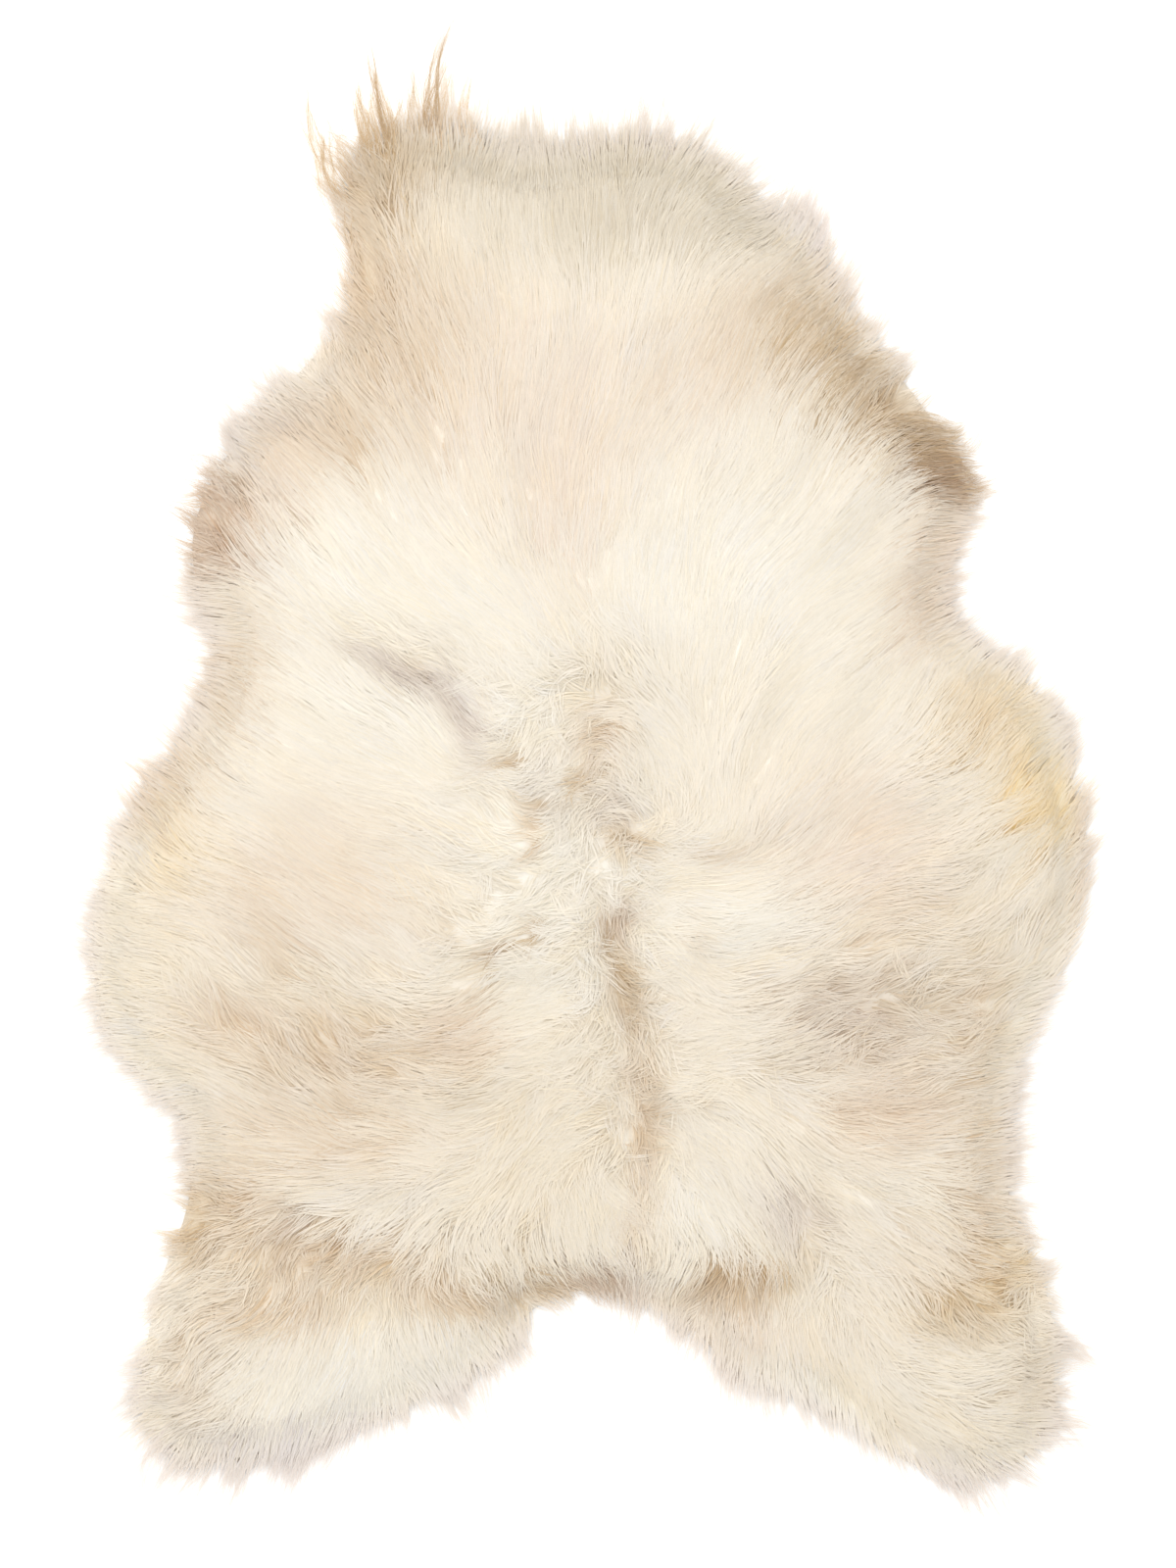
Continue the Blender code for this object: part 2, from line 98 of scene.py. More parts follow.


# The lengths in this table and the three others are in millimetres, and all others in metres.
# Areas of colour, some of which are painted shade in creases, partings and round a tuft. Columns: place, x,
# y, the two radii, turn in degrees, tone, strength.
PATCHES = (
    ("left_rib", -160, 160, 150, 60, -20, Tone.SNOW, 0.8),
    ("right_rib", 96, 160, 110, 80, 0, Tone.SNOW, 0.7),
    ("left_belly_pale", -160, 48, 110, 45, -15, Tone.SNOW, 0.7),
    ("left_middle_pale", -170, -30, 60, 40, 0, Tone.CREAM, 0.8),
    ("chest", -80, 430, 95, 50, 0, Tone.IVORY, 0.8),
    ("right_white_tuft", 108, -112, 60, 26, 10, Tone.SNOW, 1.0),
    ("left_flank_pale", -344, -136, 50, 60, 0, Tone.IVORY, 0.9),
    ("left_belly_shell", -200, -56, 60, 45, 0, Tone.BEIGE, 0.4),
    ("middle_left", -40, -250, 60, 130, 0, Tone.IVORY, 0.9),
    ("middle", -30, -85, 85, 110, 0, Tone.SNOW, 1.0),
    ("middle_front", -44, 70, 32, 34, 0, Tone.SNOW, 1.0),
    ("neck_base", -50, 300, 110, 90, 0, Tone.SHELL, 0.8),
    ("collar_right", 106, 338, 80, 50, 30, Tone.BEIGE, 0.6),
    ("withers", -16, 225, 36, 70, 0, Tone.SHELL, 0.9),
    ("left_belly_beige", -215, -105, 90, 45, 0, Tone.BEIGE, 0.6),
    ("right_belly_beige", 208, -50, 70, 60, 0, Tone.SHELL, 0.9),
    ("right_belly_low", 250, -110, 60, 40, 0, Tone.BEIGE, 0.3),
    ("left_ear", -180, 492, 50, 40, 0, Tone.HAZEL, 0.85),
    ("left_ear_streak", -126, 500, 52, 36, 0, Tone.TAN, 0.8),
    ("left_ear_back", -180, 425, 26, 60, 0, Tone.TAN, 0.6),
    ("left_cheek", -176, 400, 36, 80, 12, Tone.SAND, 1.0),
    ("left_collar", -145, 355, 70, 75, 20, Tone.SAND, 0.65),
    ("left_blade", -196, 274, 52, 34, 0, Tone.SAND, 0.85),
    ("left_shoulder_front", -264, 272, 60, 36, 40, Tone.ASH, 0.7),
    ("left_shoulder_inner", -232, 245, 32, 40, 0, Tone.BEIGE, 0.9),
    ("left_shoulder_rust", -290, 202, 40, 38, 0, Tone.RUST, 0.8),
    ("left_shoulder", -322, 200, 26, 55, 0, Tone.TAUPE, 0.8),
    ("left_waist", -282, 82, 36, 60, -10, Tone.SAND, 0.75),
    ("left_flank_front", -344, -10, 45, 45, 0, Tone.SAND, 0.9),
    ("left_flank_straw", -316, -62, 26, 36, 0, Tone.STRAW, 0.4),
    ("neck_olive", -62, 500, 88, 44, 0, Tone.OLIVE, 0.9),
    ("poll_olive", 30, 498, 80, 48, 0, Tone.OLIVE, 0.95),
    ("right_ear_olive", 120, 460, 60, 36, -38, Tone.OLIVE, 0.85),
    ("neck_middle", 30, 440, 110, 36, 0, Tone.OLIVE, 0.8),
    ("right_ear_tip", 190, 470, 30, 40, 0, Tone.MIST, 0.8),
    ("right_cheek_front", 176, 375, 44, 56, 0, Tone.SAND, 0.5),
    ("right_cheek", 184, 332, 80, 42, -45, Tone.TAN, 0.65),
    ("right_shoulder_front", 236, 295, 60, 30, -50, Tone.HAZEL, 0.7),
    ("right_shoulder_dark", 276, 262, 44, 30, -55, Tone.HAZEL, 1.0),
    ("right_shoulder_tip", 282, 244, 30, 22, -20, Tone.BROWN, 0.8),
    ("right_shoulder_back", 288, 185, 36, 40, 0, Tone.BEIGE, 0.9),
    ("right_waist", 262, 130, 32, 50, 0, Tone.BEIGE, 0.7),
    ("right_flank_straw", 324, 42, 40, 46, 25, Tone.STRAW, 0.6),
    ("right_flank_sand", 312, 44, 34, 40, 0, Tone.SAND, 0.45),
    ("right_flank_ochre", 366, -24, 40, 40, 0, Tone.STRAW, 0.8),
    ("right_flank_low", 376, -96, 30, 55, 0, Tone.BEIGE, 0.15),
    # Painted shade: grey laid where shade falls in the wool's creases and partings, for the next five rows.
    ("left_streak_painted_shade", -134, 79, 50, 13, -26, Tone.ASH, 0.9),
    ("left_streak_painted_shade_low", -96, 52, 12, 30, 20, Tone.ASH, 0.9),
    ("left_curl_painted_shade", -80, 30, 14, 26, 15, Tone.ASH, 0.4),
    ("spine_painted_shade", -30, -10, 22, 24, 0, Tone.ASH, 0.3),
    ("spine_wisps_painted_shade", 22, -22, 22, 18, 0, Tone.ASH, 0.5),
    # Painted shade: tan laid in the creases between the curls, for the next three rows.
    ("crease_painted_shade", -60, 16, 8, 8, 0, Tone.TAN, 0.8),
    ("crease_painted_shade_low", -41, -17, 10, 5, 0, Tone.TAN, 0.8),
    ("crease_painted_shade_inner", 3, 7, 8, 14, -20, Tone.TAN, 0.9),
    ("swirl_tan", 18, 42, 10, 10, 0, Tone.SAND, 0.9),
    # Painted shade in a crease.
    ("crease_painted_shade_middle", -42, -40, 7, 20, 5, Tone.SAND, 0.8),
    ("tan_under", 30, -46, 18, 12, -20, Tone.TAN, 0.7),
    ("spot_1", -72, -136, 10, 6, 0, Tone.HAZEL, 0.9),
    ("spot_2", -39, -120, 7, 10, 0, Tone.TAN, 0.8),
    ("spot_3", -79, -158, 6, 12, 0, Tone.TAN, 0.7),
    ("spine_head", 25, -112, 12, 16, -20, Tone.TAUPE, 0.8),
    # Painted shadow: a shadow line along a crease, and the shadow round the white tuft.
    ("right_crease_painted_shadow", 100, -60, 35, 8, 0, Tone.SAND, 0.4),
    ("right_tuft_painted_shadow", 82, -122, 8, 18, 0, Tone.SAND, 0.4),
    ("whorl", 18, 36, 20, 36, 0, Tone.SAND, 0.5),
    ("spine", 28, -160, 10, 50, 14, Tone.TAN, 0.75),
    ("spine_low", 46, -266, 12, 70, 4, Tone.SAND, 0.7),
    ("spine_tail", 36, -350, 12, 40, -8, Tone.SAND, 0.4),
    ("left_brown_belly", -184, -222, 85, 36, 0, Tone.SAND, 0.65),
    ("left_brown_spot", -110, -216, 18, 9, 20, Tone.TAN, 0.5),
    ("left_belly_tan", -280, -196, 45, 30, 0, Tone.BEIGE, 0.6),
    ("left_loin_beige", -88, -198, 30, 30, 0, Tone.BEIGE, 0.8),
    ("left_belly_line", -248, -128, 16, 45, 15, Tone.SAND, 0.5),
    ("left_haunch", -206, -284, 95, 38, 0, Tone.SAND, 0.6),
    ("left_haunch_low", -284, -334, 45, 30, 0, Tone.SAND, 0.7),
    ("right_taupe", 208, -190, 70, 40, 0, Tone.TAUPE, 0.5),
    ("right_brown", 312, -190, 24, 50, 0, Tone.SAND, 0.45),
    ("right_haunch", 240, -262, 55, 38, 0, Tone.BEIGE, 0.9),
    ("right_loin", 314, -318, 26, 80, 0, Tone.SAND, 0.6),
    ("right_grey", 156, -336, 36, 22, -30, Tone.ASH, 0.7),
    ("right_loin_pale", 92, -345, 45, 36, 0, Tone.SNOW, 0.6),
    ("right_thigh_front", 290, -378, 60, 32, 0, Tone.SAND, 0.3),
    ("rump_left", -208, -378, 75, 18, 0, Tone.SAND, 0.85),
    ("rump_left_dark", -232, -355, 16, 16, 0, Tone.TAUPE, 0.5),
    ("left_thigh_outer", -316, -362, 26, 36, 0, Tone.TAN, 0.7),
    ("left_leg", -318, -480, 30, 55, 8, Tone.TAUPE, 0.3),
    ("left_hem_inner", -110, -416, 50, 18, -20, Tone.SAND, 0.8),
    ("left_thigh_inner", -244, -422, 55, 26, 0, Tone.SAND, 0.75),
    ("left_thigh_pale", -190, -482, 95, 40, 12, Tone.SNOW, 0.9),
    ("left_hem", -250, -542, 90, 28, 10, Tone.MIST, 0.8),
    ("tail_left", -36, -405, 46, 16, 10, Tone.TAN, 0.9),
    ("tail", 14, -402, 40, 20, 0, Tone.TAUPE, 1.0),
    ("tail_right", 124, -398, 50, 18, 20, Tone.TAN, 0.95),
    ("right_hem_inner", 118, -452, 60, 40, -20, Tone.SHELL, 0.8),
    ("right_hem", 190, -512, 75, 34, -30, Tone.SNOW, 0.9),
    ("right_leg_end", 270, -556, 60, 24, -10, Tone.MIST, 0.8),
    ("right_thigh_inner", 220, -436, 60, 34, 0, Tone.BEIGE, 0.1),
    ("right_leg_streak", 226, -500, 60, 14, -45, Tone.STRAW, 0.25),
    ("right_thigh", 296, -420, 46, 26, 0, Tone.OCHRE, 0.4),
    ("right_thigh_outer", 344, -396, 34, 24, 0, Tone.OCHRE, 0.4),
    ("right_leg_outer", 358, -486, 26, 36, 0, Tone.TAN, 0.3),
    ("right_leg_low", 290, -530, 50, 30, -20, Tone.IVORY, 0.5),
    ("left_flank_rim", -408, -130, 16, 90, 0, Tone.MIST, 0.4),
    ("right_flank_rim", 408, -70, 14, 80, 0, Tone.SAND, 0.7),
)

# How the wool is combed. Columns: place, x, y, and its direction in degrees from +X.
COMBING = (
    ("left_ear_outer", -204, 520, 116),
    ("left_ear", -160, 544, 106),
    ("left_ear_inner", -116, 560, 94),
    ("neck_left", -120, 480, 101),
    ("neck_dip", -40, 500, 96),
    ("poll", 32, 515, 86),
    ("poll_right", 80, 505, 72),
    ("right_ear_front", 136, 460, 34),
    ("right_ear", 184, 464, 62),
    ("left_cheek_front", -184, 420, 119),
    ("neck", -40, 410, 95),
    ("neck_right", 40, 420, 84),
    ("right_cheek_front", 190, 400, 42),
    ("left_cheek", -220, 350, 123),
    ("left_collar", -130, 350, 113),
    ("collar", -24, 345, 91),
    ("right_collar", 88, 340, 50),
    ("right_cheek", 232, 344, 42),
    ("left_shoulder_front", -270, 280, 138),
    ("left_blade", -160, 270, 118),
    ("left_withers", -90, 260, 108),
    ("right_blade", 130, 250, 51),
    ("right_shoulder_front", 240, 290, 47),
    ("right_shoulder_tip", 312, 254, 18),
    ("left_shoulder", -320, 190, 150),
    ("left_side", -216, 208, 140),
    ("left_rib_upper", -130, 180, 143),
    ("withers", -24, 190, 90),
    ("right_withers", 48, 180, 64),
    ("right_side", 180, 180, 46),
    ("right_shoulder_back", 290, 180, 37),
    ("left_waist", -304, 110, 166),
    ("left_rib", -184, 110, 152),
    ("left_back", -64, 110, 120),
    ("right_back", 90, 110, 72),
    ("right_rib", 190, 100, 55),
    ("right_waist", 285, 125, 33),
    ("right_flank_tip", 352, 90, 52),
    ("left_rib_low", -240, 50, 147),
    ("left_back_low", -110, 40, 128),
    ("right_back_low", 110, 20, 74),
    ("right_rib_low", 210, 20, 53),
    ("right_flank_upper", 340, 30, 38),
    ("right_flank_rim", 405, -10, 60),
    ("left_flank_front", -350, -16, 121),
    ("left_belly_upper", -220, -10, 156),
    ("right_belly_upper", 272, -10, 22),
    ("left_flank", -370, -100, 170),
    ("left_belly", -270, -75, 148),
    ("left_middle", -140, -70, 165),
    ("left_spine", -60, -110, 182),
    ("right_spine", 70, -110, 14),
    ("right_middle", 150, -70, 30),
    ("right_belly", 240, -80, 18),
    ("right_flank", 340, -70, 28),
    ("right_flank_rim_low", 405, -110, 55),
    ("swirl_right", 53, 11, 100),
    ("swirl_turn", 43, 43, 128),
    ("swirl_top", 25, 58, 175),
    ("swirl_left", 4, 45, 215),
    ("swirl_fall", 0, 19, 248),
    ("swirl_inner", 33, 21, 120),
    ("tuft_upper", -21, 27, 232),
    ("tuft", -34, -1, 212),
    ("tuft_lower", -12, -25, 222),
    ("tuft_side", -51, 23, 200),
    ("grey_wisps", 27, -24, 98),
    ("grey_tan", 28, -54, -32),
    ("left_of_spine_1", -19, -65, 208),
    ("left_of_spine_2", -11, -101, 214),
    ("left_of_spine_3", -43, -49, 188),
    ("white_tuft", 62, -101, 15),
    ("white_tuft_under", 85, -125, -20),
    ("crease", 97, -60, 8),
    ("crease_ridge", 128, -41, 78),
    ("crease_fan", 157, -25, 42),
    ("crease_low", 137, -81, 14),
    ("above_swirl", 17, 87, 82),
    ("left_crease", -63, -17, 150),
    ("left_crease_low", -71, -81, 176),
    ("spine_line_2", 13.3, -110, -90),
    ("spine_left_2", -10, -115, 186),
    ("spine_right_2", 38, -115, 4),
    ("spine_line_3", 21.3, -180, -88),
    ("spine_left_3", -2, -185, 188),
    ("spine_right_3", 46, -185, -6),
    ("spine_line_4", 31, -250, -85),
    ("spine_left_4", 8, -255, 195),
    ("spine_right_4", 56, -255, -14),
    ("left_flank_low", -370, -170, 180),
    ("left_belly_low", -270, -150, 136),
    ("left_middle_low", -150, -150, 168),
    ("right_middle_low", 150, -150, 8),
    ("right_belly_low", 290, -155, 26),
    ("left_flank_back", -350, -220, 174),
    ("left_haunch_upper", -220, -215, 146),
    ("left_loin", -80, -230, 176),
    ("right_loin", 90, -220, -8),
    ("right_haunch_upper", 220, -220, 7),
    ("right_flank_back", 340, -220, 18),
    ("left_haunch", -260, -290, 177),
    ("left_rump", -110, -290, 174),
    ("left_rump_turn", -60, -300, 222),
    ("right_rump_turn", 120, -285, -58),
    ("right_haunch", 250, -290, -5),
    ("right_loin_rim", 325, -300, 3),
    ("left_thigh_front", -300, -350, 194),
    ("left_rump_low", -150, -350, 215),
    ("rump", -30, -350, -80),
    ("right_rump", 90, -345, -68),
    ("right_rump_low", 190, -350, -52),
    ("right_thigh_front", 310, -360, -10),
    ("left_thigh", -320, -415, 212),
    ("left_thigh_inner", -200, -410, -112),
    ("left_hem_inner", -80, -405, -48),
    ("tail", 10, -400, -64),
    ("tail_right", 90, -400, -126),
    ("right_thigh_inner", 170, -410, -88),
    ("right_thigh", 260, -410, -38),
    ("right_thigh_rim", 350, -410, 10),
    ("left_leg", -320, -480, 218),
    ("left_leg_inner", -230, -480, -96),
    ("left_hem", -120, -470, -68),
    ("right_hem", 110, -460, -92),
    ("right_leg_inner", 210, -490, -63),
    ("right_leg", 290, -480, -22),
    ("right_leg_rim", 360, -480, 0),
    ("left_leg_end", -340, -540, 214),
    ("right_leg_end", 270, -550, -50),
    ("right_leg_corner", 370, -540, -16),
)


def metres(lengths: Sequence[float]) -> Array:
    """Turns the tables' millimetres into metres."""
    return np.array(lengths, float) / 1000.0


def unit(vectors: Array) -> Array:
    """Scales the vectors on an array's last axis to length one."""
    return vectors / np.maximum(np.linalg.norm(vectors, axis=-1, keepdims=True), TINY)


def turned(vectors: Array, angles: Array) -> Array:
    """Turns level vectors about the vertical.

    Args:
        vectors: Level vectors, x and y on the last axis.
        angles: One angle in radians for each vector.

    Returns:
        The turned vectors.
    """
    cos, sin = np.cos(angles), np.sin(angles)
    x, y = vectors[..., 0], vectors[..., 1]
    return np.stack([x * cos - y * sin, x * sin + y * cos], axis=-1)


def eased(share: Array) -> Array:
    """A smooth step from 0 to 1, held at its ends outside them."""
    held = np.clip(share, 0.0, 1.0)
    return held * held * (3.0 - 2.0 * held)


def in_chunks(made: Callable[[Array], Array], places: Array) -> Array:
    """Works out a function of place part by part, which keeps its arrays small."""
    return np.concatenate([made(part) for part in np.array_split(places, CHUNKS)])


@dataclass(frozen=True)
class Unevenness:
    """A smooth random value over the floor, from -1 to 1, that changes over one size."""

    seed: int
    size: float
    cells: int = 256

    def at(self, places: Array) -> Array:
        """Reads the value.

        Args:
            places: Level places, x and y on the last axis.

        Returns:
            One value for each place.
        """
        lattice = np.random.default_rng(self.seed).uniform(-1.0, 1.0, (self.cells, self.cells))
        spot = places[..., :2] / self.size + self.cells / 2
        corner = np.floor(spot).astype(int)
        share = eased(spot - corner)
        x0, y0 = corner[..., 0] % self.cells, corner[..., 1] % self.cells
        x1, y1 = (x0 + 1) % self.cells, (y0 + 1) % self.cells
        low = lattice[y0, x0] * (1 - share[..., 0]) + lattice[y0, x1] * share[..., 0]
        high = lattice[y1, x0] * (1 - share[..., 0]) + lattice[y1, x1] * share[..., 0]
        return low * (1 - share[..., 1]) + high * share[..., 1]


@dataclass
class Field:
    """Values on a level grid, read between its points."""

    low: Array
    step: float
    values: Array

    @classmethod
    def over(cls, low: Array, high: Array, step: float, made: Callable[[Array], Array]) -> "Field":
        """Fills a grid from a function of place.

        Args:
            low: The grid's lowest x and y.
            high: The grid's highest x and y.
            step: The distance between its points.
            made: Gives the values at an array of places.

        Returns:
            The filled grid.
        """
        columns = int((high[0] - low[0]) / step) + 2
        rows = int((high[1] - low[1]) / step) + 2
        x, y = np.meshgrid(np.arange(columns), np.arange(rows))
        values = made(low + np.stack([x, y], axis=-1).reshape(-1, 2) * step)
        return cls(low, step, values.reshape(rows, columns, *values.shape[1:]))

    def at(self, places: Array) -> Array:
        """Reads the grid.

        Args:
            places: Level places, x and y on the last axis.

        Returns:
            The value or values at each place.
        """
        rows, columns = self.values.shape[:2]
        spot = (places[..., :2] - self.low) / self.step
        spot = np.clip(spot, 0.0, np.array([columns, rows]) - 1.001)
        corner = spot.astype(int)
        share = spot - corner
        if self.values.ndim == 3:
            share = share[..., None]
            across, up = share[..., 0, :], share[..., 1, :]
        else:
            across, up = share[..., 0], share[..., 1]
        x, y = corner[..., 0], corner[..., 1]
        low = self.values[y, x] * (1 - across) + self.values[y, x + 1] * across
        high = self.values[y + 1, x] * (1 - across) + self.values[y + 1, x + 1] * across
        return low * (1 - up) + high * up

    def blurred(self, rounds: int) -> "Field":
        """Evens the grid out.

        Args:
            rounds: How often each value is mixed with its neighbours.

        Returns:
            A smoother grid.
        """
        values = self.values
        for _ in range(rounds):
            padded = np.pad(values, [(1, 1), (1, 1)] + [(0, 0)] * (values.ndim - 2), mode="edge")
            rows = padded[:-2] + 2 * padded[1:-1] + padded[2:]
            values = (rows[:, :-2] + 2 * rows[:, 1:-1] + rows[:, 2:]) / 16
        return Field(self.low, self.step, values)

    def slope(self) -> "Field":
        """The grid of slopes, x and y."""
        rise_y, rise_x = np.gradient(self.values, self.step)
        return Field(self.low, self.step, np.stack([rise_x, rise_y], axis=-1))


def tally(like: Field, step: float, places: Array, values: Array) -> Field:
    """Adds up values over the cells of a grid.

    Args:
        like: A field whose extent the grid takes.
        step: The size of a cell.
        places: Level places.
        values: The value to add at each place.

    Returns:
        The sums, softened by one round of blurring.
    """
    size = np.array(like.values.shape[1::-1]) * like.step
    bins = (size / step).astype(int) + 2
    index = np.clip(((places - like.low) / step + 0.5).astype(int), 0, bins - 1)
    sums = np.bincount(index[:, 1] * bins[0] + index[:, 0], values, minlength=bins[0] * bins[1])
    return Field(like.low, step, sums.reshape(bins[1], bins[0])).blurred(1)


@dataclass
class Pelt:
    """The rug's shape, read from its solid: its edge, the wool's height and its reach."""

    node: Piece
    step: float = 0.004
    margin: float = 0.09
    wall_height: float = 0.010  # the least height of the wall that marks the pelt's edge
    same_place: float = 0.00002
    drop: float = 0.30  # how far the wool sinks at the edge, as a share of its height
    roundness: float = 0.016  # how far inside the edge it starts to
    fringe: float = 0.046  # how far outside the edge its height falls to nothing
    fringe_fall: float = 1.8
    evening: int = 6  # rounds of blurring before the surface's slope is read
    lock_least: float = 0.012  # a point of the solid farther out than this is a lock's tip
    lock_near: float = 0.030  # how far away a lock still counts for the reach
    lock_favour: int = 6  # how far the longest of them outweighs the others
    points: Array = field(init=False)
    edge: Array = field(init=False)
    outside: Field = field(init=False)
    height: Field = field(init=False)
    slope: Field = field(init=False)
    reach: Field = field(init=False)

    def __post_init__(self) -> None:
        """Reads the solid."""
        self.points = self._solid_points()
        self.edge = self._find_edge()
        low = self.points[:, :2].min(axis=0) - self.margin
        high = self.points[:, :2].max(axis=0) + self.margin
        self.outside = Field.over(low, high, self.step, lambda places: in_chunks(self._distance, places))
        self.height = Field.over(low, high, self.step, self._wool_height)
        self.slope = self.height.blurred(self.evening).slope()
        self.reach = Field.over(low, high, 2 * self.step, lambda places: in_chunks(self._wool_reach, places))

    def _solid_points(self) -> Array:
        """Reads the solid's points.

        Returns:
            A row for each point.
        """
        flat = np.empty(len(self.node.data.vertices) * 3, np.float32)
        self.node.data.vertices.foreach_get("co", flat)
        return flat.reshape(-1, 3).astype(float)

    def _find_edge(self) -> Array:
        """Finds the pelt's edge, where the solid's wall stands upright between floor and wool.

        Returns:
            The edge's places, in order round the rug.
        """
        keys = np.round(self.points[:, :2] / self.same_place).astype(int)
        places, index = np.unique(keys, axis=0, return_inverse=True)
        lowest = np.full(len(places), np.inf)
        highest = np.full(len(places), -np.inf)
        np.minimum.at(lowest, index.reshape(-1), self.points[:, 2])
        np.maximum.at(highest, index.reshape(-1), self.points[:, 2])
        upright = (lowest < self.same_place) & (highest > self.wall_height)
        found = places[upright] * self.same_place
        return found[np.argsort(np.arctan2(found[:, 1], found[:, 0]))]

    def _distance(self, places: Array) -> Array:
        """Measures how far outside the edge each place is.

        Args:
            places: Level places.

        Returns:
            The distances, less than nothing inside the edge.
        """
        starts = self.edge
        runs = np.roll(starts, -1, axis=0) - starts
        spot = places[:, None, :] - starts[None, :, :]
        share = np.clip((spot * runs).sum(axis=2) / (runs**2).sum(axis=1), 0.0, 1.0)
        apart = np.linalg.norm(spot - share[..., None] * runs, axis=2).min(axis=1)
        up = starts[:, 1] > places[:, None, 1]
        crosses = up != np.roll(up, -1, axis=1)
        rise = np.where(np.abs(runs[:, 1]) < TINY, TINY, runs[:, 1])
        meets = starts[:, 0] + (places[:, None, 1] - starts[:, 1]) * runs[:, 0] / rise
        inside = (crosses & (places[:, None, 0] < meets)).sum(axis=1) % 2 == 1
        return np.where(inside, -apart, apart)

    def _wool_height(self, places: Array) -> Array:
        """Measures the wool: the solid's own height inside the edge, and falling away outside it.

        Args:
            places: Level places.

        Returns:
            The heights.
        """
        tree = BVHTree.FromObject(self.node, bpy.context.evaluated_depsgraph_get())
        outside = self.outside.at(places)
        slope = self.outside.slope().at(places)
        inward = places - unit(slope) * (np.maximum(outside, 0.0) + self.step)[:, None]
        height = np.empty(len(places))
        for index, place in enumerate(inward):
            hit = tree.ray_cast(Vector((*place, 1.0)), Vector((0.0, 0.0, -1.0)))[0]
            height[index] = hit.z if hit else 0.0
        away = np.clip(outside / self.fringe, 0.0, 1.0)
        height *= 1.0 - self.drop * eased((outside + self.roundness) / self.roundness)
        return height * (1.0 - away) ** self.fringe_fall

    def _wool_reach(self, places: Array) -> Array:
        """Measures how far beyond the edge the solid's locks reach near each place.

        Args:
            places: Level places.

        Returns:
            The distances.
        """
        beyond = self.outside.at(self.points)
        tips = beyond > self.lock_least
        apart = ((places[:, None] - self.points[tips][None, :, :2]) ** 2).sum(axis=2)
        weight = beyond[tips] ** self.lock_favour * np.exp(-apart / self.lock_near**2) + LEAST_WEIGHT
        return (weight * beyond[tips]).sum(axis=1) / weight.sum(axis=1)

    def normal(self, places: Array) -> Array:
        """The way the wool's smoothed surface faces."""
        slope = self.slope.at(places)
        return unit(np.concatenate([-slope, np.ones((*slope.shape[:-1], 1))], axis=-1))


@dataclass
class Comb:
    """The direction in which the wool is combed, blended from the rows of COMBING."""

    pelt: Pelt
    step: float = 0.004
    softness: float = 0.008
    power: float = 3.0
    directions: Field = field(init=False)

    def __post_init__(self) -> None:
        """Fills the grid of directions."""
        corner = self.pelt.outside.low
        size = np.array(self.pelt.outside.values.shape[1::-1]) * self.pelt.step
        self.directions = Field.over(corner, corner + size, self.step, self._blend)

    def _blend(self, places: Array) -> Array:
        """Blends the rows' directions, the nearest counting most.

        Args:
            places: Level places.

        Returns:
            The unit direction at each place.
        """
        spots = metres([row[1:3] for row in COMBING])
        angles = np.radians([row[3] for row in COMBING])
        apart = np.linalg.norm(places[:, None] - spots[None], axis=2)
        weight = (apart + self.softness) ** -self.power
        return unit(np.stack([weight @ np.cos(angles), weight @ np.sin(angles)], axis=-1))

    def at(self, places: Array) -> Array:
        """The unit direction at each place."""
        return unit(self.directions.at(places))


@dataclass(frozen=True)
class Dye:
    """The wool's natural colours, from the rows of PATCHES over one ground tone."""

    lightness: float = 0.95
    paleness: float = 0.84  # a single fibre is paler than the wool in bulk
    ground: Tone = Tone.CREAM
    tip: Tone = Tone.SNOW
    rim: Tone = Tone.MIST

    def at(self, places: Array, loudness: Array) -> Array:
        """Mixes the areas of colour at each place.

        Args:
            places: Level places.
            loudness: How strongly each place takes the areas' colours.

        Returns:
            One linear colour for each place.
        """
        colours = np.tile(self.ground.linear, (len(places), 1))
        for _, x, y, wide, high, turn, tone, strength in PATCHES:
            weight = strength * ellipse(places, (x, y, wide, high), turn) * loudness
            weight = np.clip(weight, 0.0, 1.0)[:, None]
            colours = colours * (1 - weight) + tone.linear * weight
        return colours**self.paleness * self.lightness


class Nodes:
    """The nodes of a new material."""

    def __init__(self, name: str) -> None:
        """Starts a material with a plain surface shader.

        Args:
            name: The material's name.
        """
        self.material = bpy.data.materials.new(name)
        self.material.use_nodes = True
        self.tree = self.material.node_tree

    def existing(self, name: str, **values: float | Colour) -> bpy.types.Node:
        """Sets the inputs of a node that the material starts with, as add does."""
        return self._set(self.tree.nodes[name], values)

    def add(self, kind: str, **values: float | Colour) -> bpy.types.Node:
        """Adds a node of one kind with the inputs given, each with _ for a space in its name."""
        return self._set(self.tree.nodes.new("ShaderNode" + kind), values)

    @staticmethod
    def _set(node: bpy.types.Node, values: dict[str, float | Colour]) -> bpy.types.Node:
        """Sets inputs of a node.

        Args:
            node: The node.
            values: The values, by the inputs' names with _ for a space.

        Returns:
            The node.
        """
        for name, value in values.items():
            node.inputs[name.replace("_", " ")].default_value = value
        return node

    def join(self, *links: tuple[bpy.types.Node, str, bpy.types.Node, str | int]) -> None:
        """Links outputs to inputs, each given by its node and its name."""
        for source, output, target, socket in links:
            self.tree.links.new(source.outputs[output], target.inputs[socket])


